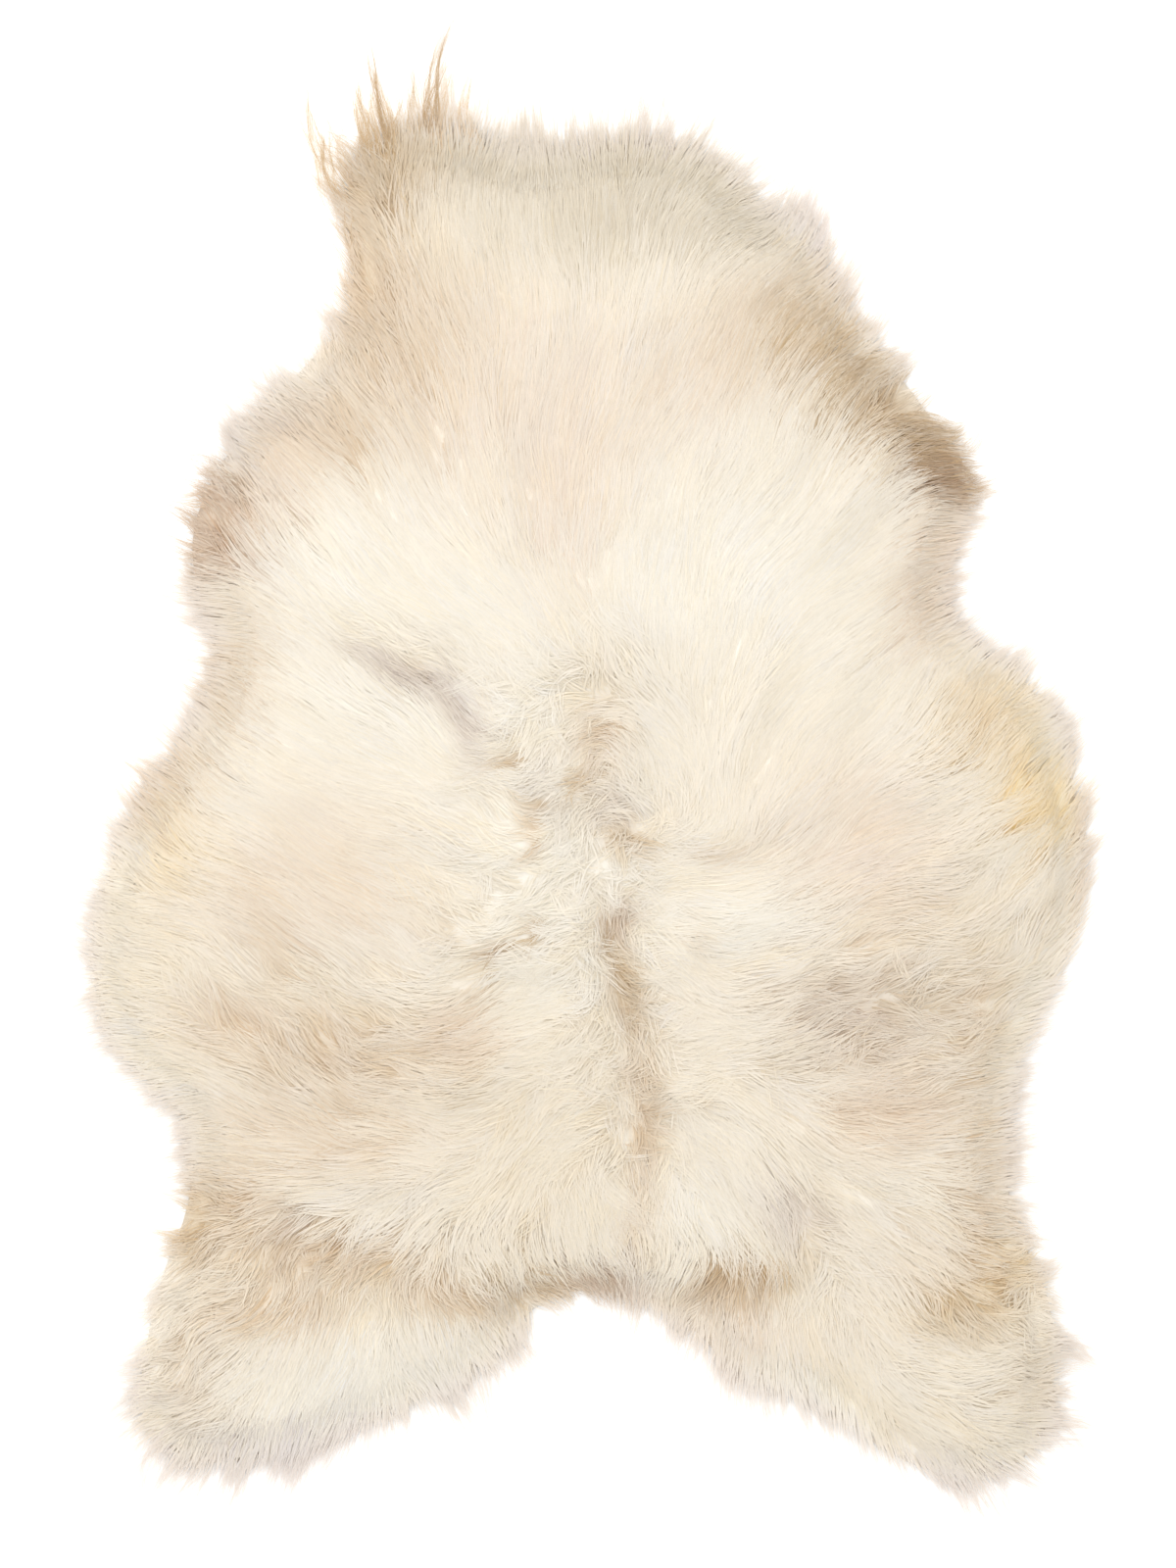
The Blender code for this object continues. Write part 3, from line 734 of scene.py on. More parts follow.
@dataclass(frozen=True)
class WoolFinish:
    """Silky undyed wool, which takes its colour from the fibres' own tint."""

    name: str
    roughness: float = 0.62
    sheen: float = 0.12
    sheen_roughness: float = 0.5
    gloss: float = 0.25
    fleck: float = 0.03
    fleck_scale: float = 420.0
    glow: float = 0.4  # the share of light that passes through a fibre

    def material(self) -> bpy.types.Material:
        """Makes the material.

        Returns:
            A node material that reads the tint, adds fine flecks and lets some light through.
        """
        nodes = Nodes(self.name)
        shader = nodes.existing("Principled BSDF", Roughness=self.roughness, Sheen_Weight=self.sheen,
                                Sheen_Roughness=self.sheen_roughness, Specular_IOR_Level=self.gloss)
        place = nodes.add("TexCoord")
        flecks = nodes.add("TexNoise", Scale=self.fleck_scale, Detail=2.0)
        spread = nodes.add("MapRange", To_Min=1.0 - self.fleck, To_Max=1.0 + self.fleck)
        tint = nodes.add("Attribute")
        tint.attribute_name = "tint"
        scaled = nodes.add("VectorMath")
        scaled.operation = "SCALE"
        through = nodes.add("BsdfTranslucent")
        mixed = nodes.add("MixShader", Fac=self.glow)
        nodes.join(
            (place, "Object", flecks, "Vector"), (flecks, "Fac", spread, "Value"),
            (tint, "Color", scaled, 0), (spread, "Result", scaled, "Scale"),
            (scaled, "Vector", shader, "Base Color"), (scaled, "Vector", through, "Color"),
            (shader, "BSDF", mixed, 1), (through, "BSDF", mixed, 2),
            (mixed, "Shader", nodes.existing("Material Output"), "Surface"),
        )
        return nodes.material


@dataclass(frozen=True)
class SuedeFinish:
    """The matt flesh side of the tanned hide."""

    name: str = "suede"
    light: Colour = (0.74, 0.64, 0.50, 1.0)
    dark: Colour = (0.62, 0.51, 0.37, 1.0)
    roughness: float = 0.92
    sheen: float = 0.3
    grain_scale: float = 900.0
    grain_depth: float = 0.0006
    grain_strength: float = 0.35
    cloud_scale: float = 14.0
    cloud_ends: tuple[float, float] = (0.3, 0.7)

    def material(self) -> bpy.types.Material:
        """Makes the material.

        Returns:
            A node material with soft clouds of colour and a fine nap.
        """
        nodes = Nodes(self.name)
        shader = nodes.existing("Principled BSDF", Roughness=self.roughness, Sheen_Weight=self.sheen)
        place = nodes.add("TexCoord")
        clouds = nodes.add("TexNoise", Scale=self.cloud_scale, Detail=6.0)
        ramp = nodes.add("ValToRGB")
        for stop, end, colour in zip(ramp.color_ramp.elements, self.cloud_ends, (self.dark, self.light)):
            stop.position = end
            stop.color = colour
        nap = nodes.add("TexNoise", Scale=self.grain_scale, Detail=4.0)
        bump = nodes.add("Bump", Strength=self.grain_strength, Distance=self.grain_depth)
        nodes.join(
            (place, "Object", clouds, "Vector"), (place, "Object", nap, "Vector"),
            (clouds, "Fac", ramp, "Fac"), (ramp, "Color", shader, "Base Color"),
            (nap, "Fac", bump, "Height"), (bump, "Normal", shader, "Normal"),
        )
        return nodes.material


def new_piece(name: str, mesh: Mesh, material: bpy.types.Material) -> Piece:
    """Adds a piece of the rug to the scene and to its frame.

    Args:
        name: The piece's name.
        mesh: Its mesh.
        material: Its finish.

    Returns:
        The piece.
    """
    mesh.materials.append(material)
    piece = bpy.data.objects.new(name, mesh)
    bpy.context.scene.collection.objects.link(piece)
    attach(piece, BODY)
    return piece


def mesh_of(name: str, points: Array, corners: Array, sizes: Array) -> Mesh:
    """Makes a mesh from arrays.

    Args:
        name: The mesh's name.
        points: Its points.
        corners: The points of each face in turn.
        sizes: How many corners each face has.

    Returns:
        The mesh, shaded smooth.
    """
    mesh = bpy.data.meshes.new(name)
    mesh.vertices.add(len(points))
    mesh.vertices.foreach_set("co", points.astype(np.float32).ravel())
    mesh.loops.add(len(corners))
    mesh.loops.foreach_set("vertex_index", corners.astype(np.int32))
    mesh.polygons.add(len(sizes))
    starts = np.concatenate([[0], np.cumsum(sizes)[:-1]])
    mesh.polygons.foreach_set("loop_start", starts.astype(np.int32))
    mesh.polygons.foreach_set("use_smooth", np.ones(len(sizes), bool))
    mesh.update(calc_edges=True)
    return mesh


def slab(name: str, low: Array, under: Array, high: Array, over: Array, rim: int) -> Mesh:
    """Makes a closed body from an underside and a top with the same rim.

    Args:
        name: The mesh's name.
        low: The underside's points, the rim's first.
        under: Its triangles, as they are seen from above.
        high: The top's points, the rim's first.
        over: Its triangles.
        rim: How many points the rim has.

    Returns:
        The mesh.
    """
    here = np.arange(rim)
    after = np.roll(here, -1)
    walls = np.stack([here, after, after + len(low), here + len(low)], axis=1)
    corners = np.concatenate([under[:, ::-1].ravel(), (over + len(low)).ravel(), walls.ravel()])
    sizes = np.concatenate([np.full(len(under) + len(over), 3), np.full(rim, 4)])
    return mesh_of(name, np.concatenate([low, high]), corners, sizes)


def paint(mesh: Mesh, colours: Array) -> None:
    """Stores one linear colour for each point as the mesh's tint."""
    full = np.concatenate([colours, np.ones((len(colours), 1))], axis=1).astype(np.float32)
    mesh.attributes.new("tint", "FLOAT_COLOR", "POINT").data.foreach_set("color", full.ravel())


def point_normals(mesh: Mesh, normals: Array) -> None:
    """Gives each point of the mesh the unit normal that it is shaded with."""
    attribute = mesh.attributes.new("custom_normal", "FLOAT_VECTOR", "POINT")
    attribute.data.foreach_set("vector", normals.astype(np.float32).ravel())


INSIDE_ONLY = 1  # the triangulation keeps what lies inside the edge
SAME_SPOT = 1e-7


def filled(edge: Array, inner: Array) -> tuple[Array, Array]:
    """Lays triangles over everything inside a closed edge.

    Args:
        edge: The edge's places, in order.
        inner: Places inside it.

    Returns:
        All the places, the edge's first, and the triangles between them.
    """
    places = np.concatenate([edge, inner])
    spots = [Vector(place) for place in places]
    made = geometry.delaunay_2d_cdt(spots, [], [list(range(len(edge)))], INSIDE_ONLY, SAME_SPOT)
    index = np.array([source[0] for source in made[3]])
    return places, index[np.array(made[2])]


def hexagonal(pelt: Pelt, spacing: float, jitter: float, inset: float, seed: int) -> Array:
    """Lays places on an uneven triangular grid over the pelt.

    Args:
        pelt: The rug's shape.
        spacing: The distance between neighbours.
        jitter: How far each moves at most, in spacings.
        inset: The least distance inside the edge, or less than nothing to pass it.
        seed: The seed of the jitter.

    Returns:
        The places.
    """
    chance = np.random.default_rng(seed)
    low, high = pelt.edge.min(axis=0) + inset, pelt.edge.max(axis=0) - inset
    row_height = spacing * math.sqrt(0.75)
    columns = int((high[0] - low[0]) / spacing) + 2
    rows = int((high[1] - low[1]) / row_height) + 2
    x, y = np.meshgrid(np.arange(columns), np.arange(rows))
    x = (x - 0.5 * (y % 2)) * spacing
    places = low + np.stack([x, y * row_height], axis=-1).reshape(-1, 2)
    places += chance.uniform(-jitter, jitter, places.shape) * spacing
    return places[pelt.outside.at(places) < -inset]


@dataclass
class Hide:
    """The tanned hide under the wool: one thin sheet with the pelt's own outline."""

    pelt: Pelt
    finish: SuedeFinish = SuedeFinish()
    thickness: float = 0.0018
    inset: float = 0.004
    spacing: float = 0.016
    jitter: float = 0.2
    seed: int = 3
    area: float = field(init=False)
    size: tuple[float, ...] = field(init=False)

    def build(self) -> Piece:
        """Makes the sheet, and notes its flat size and area.

        Returns:
            The hide, lying on the floor.
        """
        slope = unit(self.pelt.outside.slope().at(self.pelt.edge))
        edge = self.pelt.edge - self.inset * slope
        least = self.inset + self.spacing / 2
        places, faces = filled(edge, hexagonal(self.pelt, self.spacing, self.jitter, least, self.seed))
        low = np.column_stack([places, np.zeros(len(places))])
        mesh = slab("hide", low, faces, low + (0.0, 0.0, self.thickness), faces, len(edge))
        sides = places[faces[:, 1:]] - places[faces[:, :1]]
        self.area = float(np.abs(np.linalg.det(sides)).sum() / 2)
        self.size = tuple(np.ptp(edge, axis=0))
        return new_piece("hide", mesh, self.finish.material())


@dataclass
class Underwool:
    """The short dense wool between the long locks."""

    pelt: Pelt
    dye: Dye
    spacing: float = 0.0059
    jitter: float = 0.25
    rim_gap: float = 0.6  # from the rim to the first places inside it, in spacings
    skirt: float = 0.011  # how far it reaches past the pelt's edge
    skirt_share: float = 0.5  # and at most this share of the long wool's reach
    skirt_drop: float = 0.9
    skirt_fall: float = 2.5
    kept: float = 0.88  # a rim point that the pelt's corners bring nearer than this is left out
    rim_height: float = 0.0020
    least_height: float = 0.003
    shade: float = 0.98
    # The underwool's colour is deepened: its base is yellower, and it paints warm shade where it shows
    # between the fibres.
    yellowing_and_shade: float = 1.08
    seed: int = 5

    def build(self, finish: WoolFinish, bed: Field) -> Piece:
        """Makes the underwool as one closed body over the hide.

        Args:
            finish: The wool's finish.
            bed: The height at which the fibres lie.

        Returns:
            The piece.
        """
        edge = self._skirt_edge()
        least = self.spacing * self.rim_gap - self.skirt
        places, faces = filled(edge, hexagonal(self.pelt, self.spacing, self.jitter, least, self.seed))
        across = np.clip(self.pelt.outside.at(places) / self._skirt_width(places), 0.0, 1.0)
        height = bed.at(places) * (1.0 - self.skirt_drop * across**self.skirt_fall)
        high = np.column_stack([places, np.maximum(height, self.least_height)])
        low = np.column_stack([edge, np.full(len(edge), self.rim_height)])
        under = filled(edge, np.empty((0, 2)))[1]
        mesh = slab("underwool", low, under, high, faces, len(edge))
        spots = np.concatenate([low, high])
        # The tint holds the underwool's yellower base and the painted shade seen between the fibres.
        paint(mesh, self.dye.at(spots, np.ones(len(spots))) ** self.yellowing_and_shade * self.shade)
        return new_piece("underwool", mesh, finish.material())

    def _skirt_edge(self) -> Array:
        """Draws a line round the pelt's edge, as far outside it as the underwool reaches.

        Returns:
            The line's places, in order.
        """
        middle = (self.pelt.edge + np.roll(self.pelt.edge, -1, axis=0)) / 2
        edge = np.stack([self.pelt.edge, middle], axis=1).reshape(-1, 2)
        width = self._skirt_width(edge)
        moved = edge + width[:, None] * unit(self.pelt.outside.blurred(2).slope().at(edge))
        return moved[self.pelt.outside.at(moved) > self.kept * width]

    def _skirt_width(self, places: Array) -> Array:
        """How far the underwool reaches past the edge: less than the long wool does."""
        return np.minimum(self.skirt, self.skirt_share * self.pelt.reach.at(places))


STATIONS = 6  # places along a fibre, the last of which is its tip
FIBRE_POINTS = 2 * STATIONS - 1
PATH_STEPS = 10


@dataclass(frozen=True)
class Coat:
    """How the wool lies in one kind of area: lengths in metres, angles in degrees."""

    length: float
    gather: float  # how far the fibres of a lock close up toward its tip
    swing: float  # the waves along a lock
    stray: float  # how far a lock turns off the combing
    sink: float  # how deep the roots lie below the wool's top
    loose: float  # how far apart the fibres lie in height
    wave: float  # the waves of a single fibre
    width: float  # how wide a fibre is
    depth: float  # how much deeper the wool's colour is at its roots: partly their own yellower tone, partly painted shade among the locks


class Growth(Enum):
    """The coats that the rug has."""

    SLEEK = Coat(0.084, 0.14, 10.0, 4.0, 0.0009, 0.0003, 0.0005, 0.00105, 0.15)
    WISPY = Coat(0.062, 0.68, 38.0, 12.0, 0.0062, 0.0020, 0.0013, 0.00068, 0.90)
    CURLY = Coat(0.048, 0.70, 52.0, 20.0, 0.0066, 0.0023, 0.0014, 0.00066, 0.60)
    SHAGGY = Coat(0.056, 0.72, 48.0, 16.0, 0.0084, 0.0028, 0.0015, 0.00068, 1.10)


# Where the wool isn't sleek. Columns: place, x, y, the two radii, turn in degrees, coat, strength.
COATS = (
    ("left_ear", -180, 500, 50, 60, 0, Growth.WISPY, 0.6),
    ("right_ear", 190, 470, 40, 45, 0, Growth.WISPY, 0.5),
    ("left_cheek", -210, 350, 80, 100, -30, Growth.WISPY, 0.6),
    ("left_shoulder", -310, 230, 60, 80, 0, Growth.WISPY, 1.0),
    ("right_shoulder", 270, 270, 90, 50, -45, Growth.WISPY, 1.0),
    ("left_streak", -120, 80, 70, 34, -24, Growth.WISPY, 0.7),
    ("whorl", 10, 60, 60, 50, 0, Growth.WISPY, 0.8),
    ("middle", -10, -35, 75, 85, 0, Growth.CURLY, 0.9),
    ("middle_left", -55, -105, 55, 40, 0, Growth.CURLY, 0.9),
    ("spine", 28, -180, 26, 130, 5, Growth.CURLY, 0.8),
    ("back", 0, -230, 160, 120, 0, Growth.WISPY, 0.4),
    ("left_belly", -200, -210, 120, 50, 0, Growth.WISPY, 1.0),
    ("right_belly", 250, -180, 120, 80, 0, Growth.WISPY, 1.0),
    ("right_flank", 330, -50, 70, 120, 0, Growth.WISPY, 0.5),
    ("left_flank", -350, -100, 80, 120, 0, Growth.WISPY, 0.35),
    ("right_whorl", 165, -330, 50, 40, 0, Growth.CURLY, 0.6),
    ("rump", -10, -390, 200, 35, 0, Growth.SHAGGY, 0.9),
    ("left_rump", -220, -365, 110, 34, 0, Growth.SHAGGY, 0.9),
    ("left_leg", -325, -430, 50, 100, 5, Growth.SHAGGY, 0.9),
    ("right_leg", 320, -415, 80, 80, 0, Growth.SHAGGY, 0.9),
)


def ellipse(places: Array, shape: tuple[float, ...], turn: float, softness: float = 1.25) -> Array:
    """Says how near each place is to the middle of an ellipse.

    Args:
        places: Level places.
        shape: The middle's x and y and the two radii, in millimetres.
        turn: The ellipse's turn in degrees.
        softness: The less it is, the wider the soft edge.

    Returns:
        1 in the middle, falling softly to 0 outside.
    """
    x, y, wide, high = metres(shape)
    spot = turned(places[:, :2] - (x, y), np.full(len(places), -math.radians(turn)))
    return np.exp(-(((spot[:, 0] / wide) ** 2 + (spot[:, 1] / high) ** 2) ** softness))


def coat_at(places: Array) -> Coat:
    """Blends the rows of COATS at each place.

    Args:
        places: Level places.

    Returns:
        A coat whose fields hold one value for each place.
    """
    values = np.tile(np.array(astuple(Growth.SLEEK.value)), (len(places), 1))
    for _, x, y, wide, high, turn, growth, strength in COATS:
        weight = strength * ellipse(places, (x, y, wide, high), turn)[:, None]
        values = values * (1 - weight) + np.array(astuple(growth.value)) * weight
    return Coat(*values.T)


@dataclass
class Locks:
    """Locks of wool, a row for each."""

    lines: Array  # the level line of each, in PATH_STEPS steps
    radius: Array
    coat: Coat
    weight: Array  # how many of the fibres each takes
    tone: Array  # a colour of its own, which only the long wisps have
    tone_share: Array


def along_lines(lines: Array, owner: Array, shares: Array) -> Array:
    """Finds places at shares of chosen lines.

    Args:
        lines: Lines of PATH_STEPS steps.
        owner: Which line each row of shares reads.
        shares: Shares from 0 to 1.

    Returns:
        The places, in the shape of the shares.
    """
    spot = np.clip(shares * PATH_STEPS, 0.0, PATH_STEPS - 1e-6)
    index = spot.astype(int)
    rest = (spot - index)[..., None]
    row = owner[:, None]
    return lines[row, index] * (1 - rest) + lines[row, index + 1] * rest


@dataclass
class Combing:
    """Lays locks over the pelt, along the combing."""

    pelt: Pelt
    comb: Comb
    spacing: float = 0.0118
    jitter: float = 0.42
    edge_gap: float = 0.002
    radius: float = 0.0105
    radii: tuple[float, float] = (0.85, 1.2)
    open: float = 1.3  # how wide a lock is that doesn't gather
    gathered: float = 0.5
    lengths: tuple[float, float] = (0.80, 1.18)
    swings: tuple[float, float] = (0.7, 1.2)
    wave_length: float = 0.050
    wave_share: float = 0.30
    curve: Unevenness = Unevenness(33, 0.070)
    curve_share: float = 0.34
    ripple: Unevenness = Unevenness(34, 0.021)
    cover_step: float = 0.008
    thin: float = 0.62  # wool with less cover than this share of the middling one gets more locks
    thin_spacing: float = 0.7
    thin_jitter: float = 0.4
    thin_gap: float = 0.012
    thin_length: float = 0.7
    thin_stray: float = 80.0
    rim: float = 0.030  # how far inside the edge the locks start to lean outward
    splay: float = 0.35
    least_reach: float = 0.60
    more_reach: float = 1.30
    most_past: float = 0.018
    seed: int = 22

    def locks(self) -> Locks:
        """Places and draws the locks, with short ones added where the combing leaves the wool thin.

        Returns:
            All the locks of the fleece but for the long wisps.
        """
        chance = np.random.default_rng(self.seed)
        roots = hexagonal(self.pelt, self.spacing, self.jitter, self.edge_gap, self.seed)
        lines = self._drawn(roots, coat_at(roots), chance)
        closer = self.spacing * self.thin_spacing
        spots = hexagonal(self.pelt, closer, self.thin_jitter, self.thin_gap, self.seed + 1)
        cover = self._cover(lines).at(spots)
        extra = spots[cover < self.thin * np.median(cover)]
        curls = coat_at(extra)
        curls = replace(curls, length=self.thin_length * curls.length, stray=self.thin_stray * curls.gather)
        LOG.info("locks: %d, and %d where the wool was thin", len(roots), len(extra))
        lines = np.concatenate([lines, self._drawn(extra, curls, chance)])
        lines = self._within_reach(lines, chance)
        coat = coat_at(lines[:, 0])
        count = len(lines)
        radius = self.radius * chance.uniform(*self.radii, count) * (self.open - self.gathered * coat.gather)
        return Locks(lines, radius, coat, np.ones(count), np.ones((count, 3)), np.zeros(count))

    def _drawn(self, roots: Array, coat: Coat, chance: Chance) -> Array:
        """Draws the locks' level lines, from their roots along the combing.

        Args:
            roots: Where the locks start.
            coat: How each of them lies.
            chance: The random draws.

        Returns:
            The lines.
        """
        count = len(roots)
        lengths = coat.length * chance.uniform(*self.lengths, count)
        bend = np.radians(coat.stray) * chance.standard_normal(count)
        phase = 2 * np.pi * chance.random(count)
        swing = np.radians(coat.swing) * chance.uniform(*self.swings, count)
        place = roots
        line = [place]
        for index in range(PATH_STEPS):
            gone = (index + 0.5) / PATH_STEPS * lengths
            turn = bend + self.wave_share * swing * np.sin(phase + 2 * np.pi * gone / self.wave_length)
            turn += swing * self.ripple.at(place) + self.curve_share * self.curve.at(place)
            place = place + lengths[:, None] / PATH_STEPS * turned(self._combed(place), turn)
            line.append(place)
        return np.stack(line, axis=1)

    def _combed(self, places: Array) -> Array:
        """Reads the combing's direction, which leans outward near the edge.

        Args:
            places: Level places.

        Returns:
            The unit directions.
        """
        near_edge = eased((self.pelt.outside.at(places) + self.rim) / self.rim)[:, None]
        outward = unit(self.pelt.outside.slope().at(places))
        return unit(self.comb.at(places) + self.splay * near_edge * outward)

    def _cover(self, lines: Array) -> Field:
        """How much wool lies over each place, from the lines' points."""
        points = lines[:, 1:].reshape(-1, 2)
        return tally(self.pelt.outside, self.cover_step, points, np.ones(len(points)))

    def _within_reach(self, lines: Array, chance: Chance) -> Array:
        """Draws back the locks that pass the wool's reach beyond the edge.

        Args:
            lines: The locks' lines.
            chance: The random draws.

        Returns:
            The lines, none of which passes its own limit.
        """
        reach = self.pelt.reach.at(lines)
        drawn = chance.random(len(lines))[:, None]
        wanted = reach * (self.least_reach + self.more_reach * drawn)
        over = self.pelt.outside.at(lines) > np.minimum(wanted, reach + self.most_past * drawn)
        first = np.where(over.any(axis=1), over.argmax(axis=1), PATH_STEPS)
        share = np.maximum(first, 2) / PATH_STEPS
        shares = np.linspace(0.0, 1.0, PATH_STEPS + 1)[None, :] * share[:, None]
        return along_lines(lines, np.arange(len(lines)), shares)


@dataclass
class LongWisps:
    """The wisps that stand out past the rim, from the rows of WISPS."""

    seed: int = 61
    parts: int = 8  # the locks of one wisp
    full_parts: int = 3  # those of them that are as long as it is
    full_length: float = 1.18  # a lock's line goes on past the ends of its fibres
    part_length: tuple[float, float] = (0.65, 1.10)
    apart: float = 0.7
    closing: float = 0.3
    radius: float = 0.42
    ripple: float = 0.003
    ripples: float = 1.3
    tone_share: float = 0.85
    coat: Coat = Coat(0.1, 0.85, 0.0, 0.0, 0.004, 0.003, 0.0016, 0.00040, 0.3)

    def locks(self) -> tuple[Locks, int]:
        """Draws the wisps.

        Returns:
            The wisps as locks, and how many fibres they hold in all.
        """
        chance = np.random.default_rng(self.seed)
        share = np.linspace(0.0, 1.0, PATH_STEPS + 1)[:, None]
        lines, radius, fibres, tones = [], [], [], []
        for _, *lengths, count, tone in WISPS:
            x, y, tip_x, tip_y, bow, wide = metres(lengths)
            run = np.array([tip_x - x, tip_y - y])
            side = np.array([run[1], -run[0]]) / np.linalg.norm(run)
            for part in range(self.parts):
                apart = self.apart * wide * chance.standard_normal()
                waves = np.sin(2 * np.pi * (share * self.ripples + chance.random()))
                bent = bow * np.sin(np.pi * share) + self.ripple * waves
                length = self.full_length if part < self.full_parts else chance.uniform(*self.part_length)
                across = bent + apart * (1 - self.closing * share)
                lines.append(np.array([x, y]) + share * length * run + across * side)
                radius.append(self.radius * wide)
                fibres.append(count / self.parts)
                tones.append(tone.linear)
        number = len(lines)
        coat = Coat(*(np.full(number, value) for value in astuple(self.coat)))
        shares = np.full(number, self.tone_share)
        made = Locks(np.stack(lines), np.array(radius), coat, np.array(fibres), np.stack(tones), shares)
        return made, int(sum(fibres))


@dataclass
class Strands:
    """The fibres of one piece while they are drawn: a row for each, a column for each station."""

    owner: Array  # the lock that each grows in
    coat: Coat
    share: Array  # how far along the fibre a station is
    stray: Array  # which of them lie loose
    spread: Array  # how far each lies from its lock's line, in radii
    disc: Array  # the same with its direction
    level: Array = field(init=False)
    outside: Array = field(init=False)
    layer: Array = field(init=False)  # how deep each lies in the wool

    def __len__(self) -> int:
        """How many there are."""
        return len(self.owner)


@dataclass(frozen=True)
class Tinting:
    """How the wool's colour varies from fibre to fibre and along each, with painted shade toward the roots
    and deep in the wool.
    """

    loudness: float = 0.40  # how strongly every fibre takes the areas' colours
    fibre_loudness: float = 0.50
    lock_loudness: float = 0.42
    lock_power: float = 1.2
    loudest: float = 1.7
    lock_shade: float = 0.010
    fibre_shade: float = 0.014
    lock_hue: Colour = (0.006, 0.0, -0.018)
    # root darkens the colour toward the roots: their own yellower tone together with painted shade among the
    # locks.
    root: float = 0.75
    root_end: float = 0.85  # how far along the fibre the roots' deeper colour and painted shade reach
    under: float = 0.35  # how much painted shade the fibres deep in the wool add to it
    rim: float = 0.030  # how far inside the edge it starts to fade
    rim_loss: float = 0.7
    pale_from: float = 0.50  # wool darker than this keeps its colour to its tips
    pale_over: float = 0.30
    pale: float = 0.15
    pale_gather: float = 0.35
    dark_pale: float = 0.3
    fade: float = 0.7  # how far the fibres past the edge take the rim's tone
    fade_start: float = 0.001
    fade_width: float = 0.026
    lightest: float = 0.98
    seed: int = 77


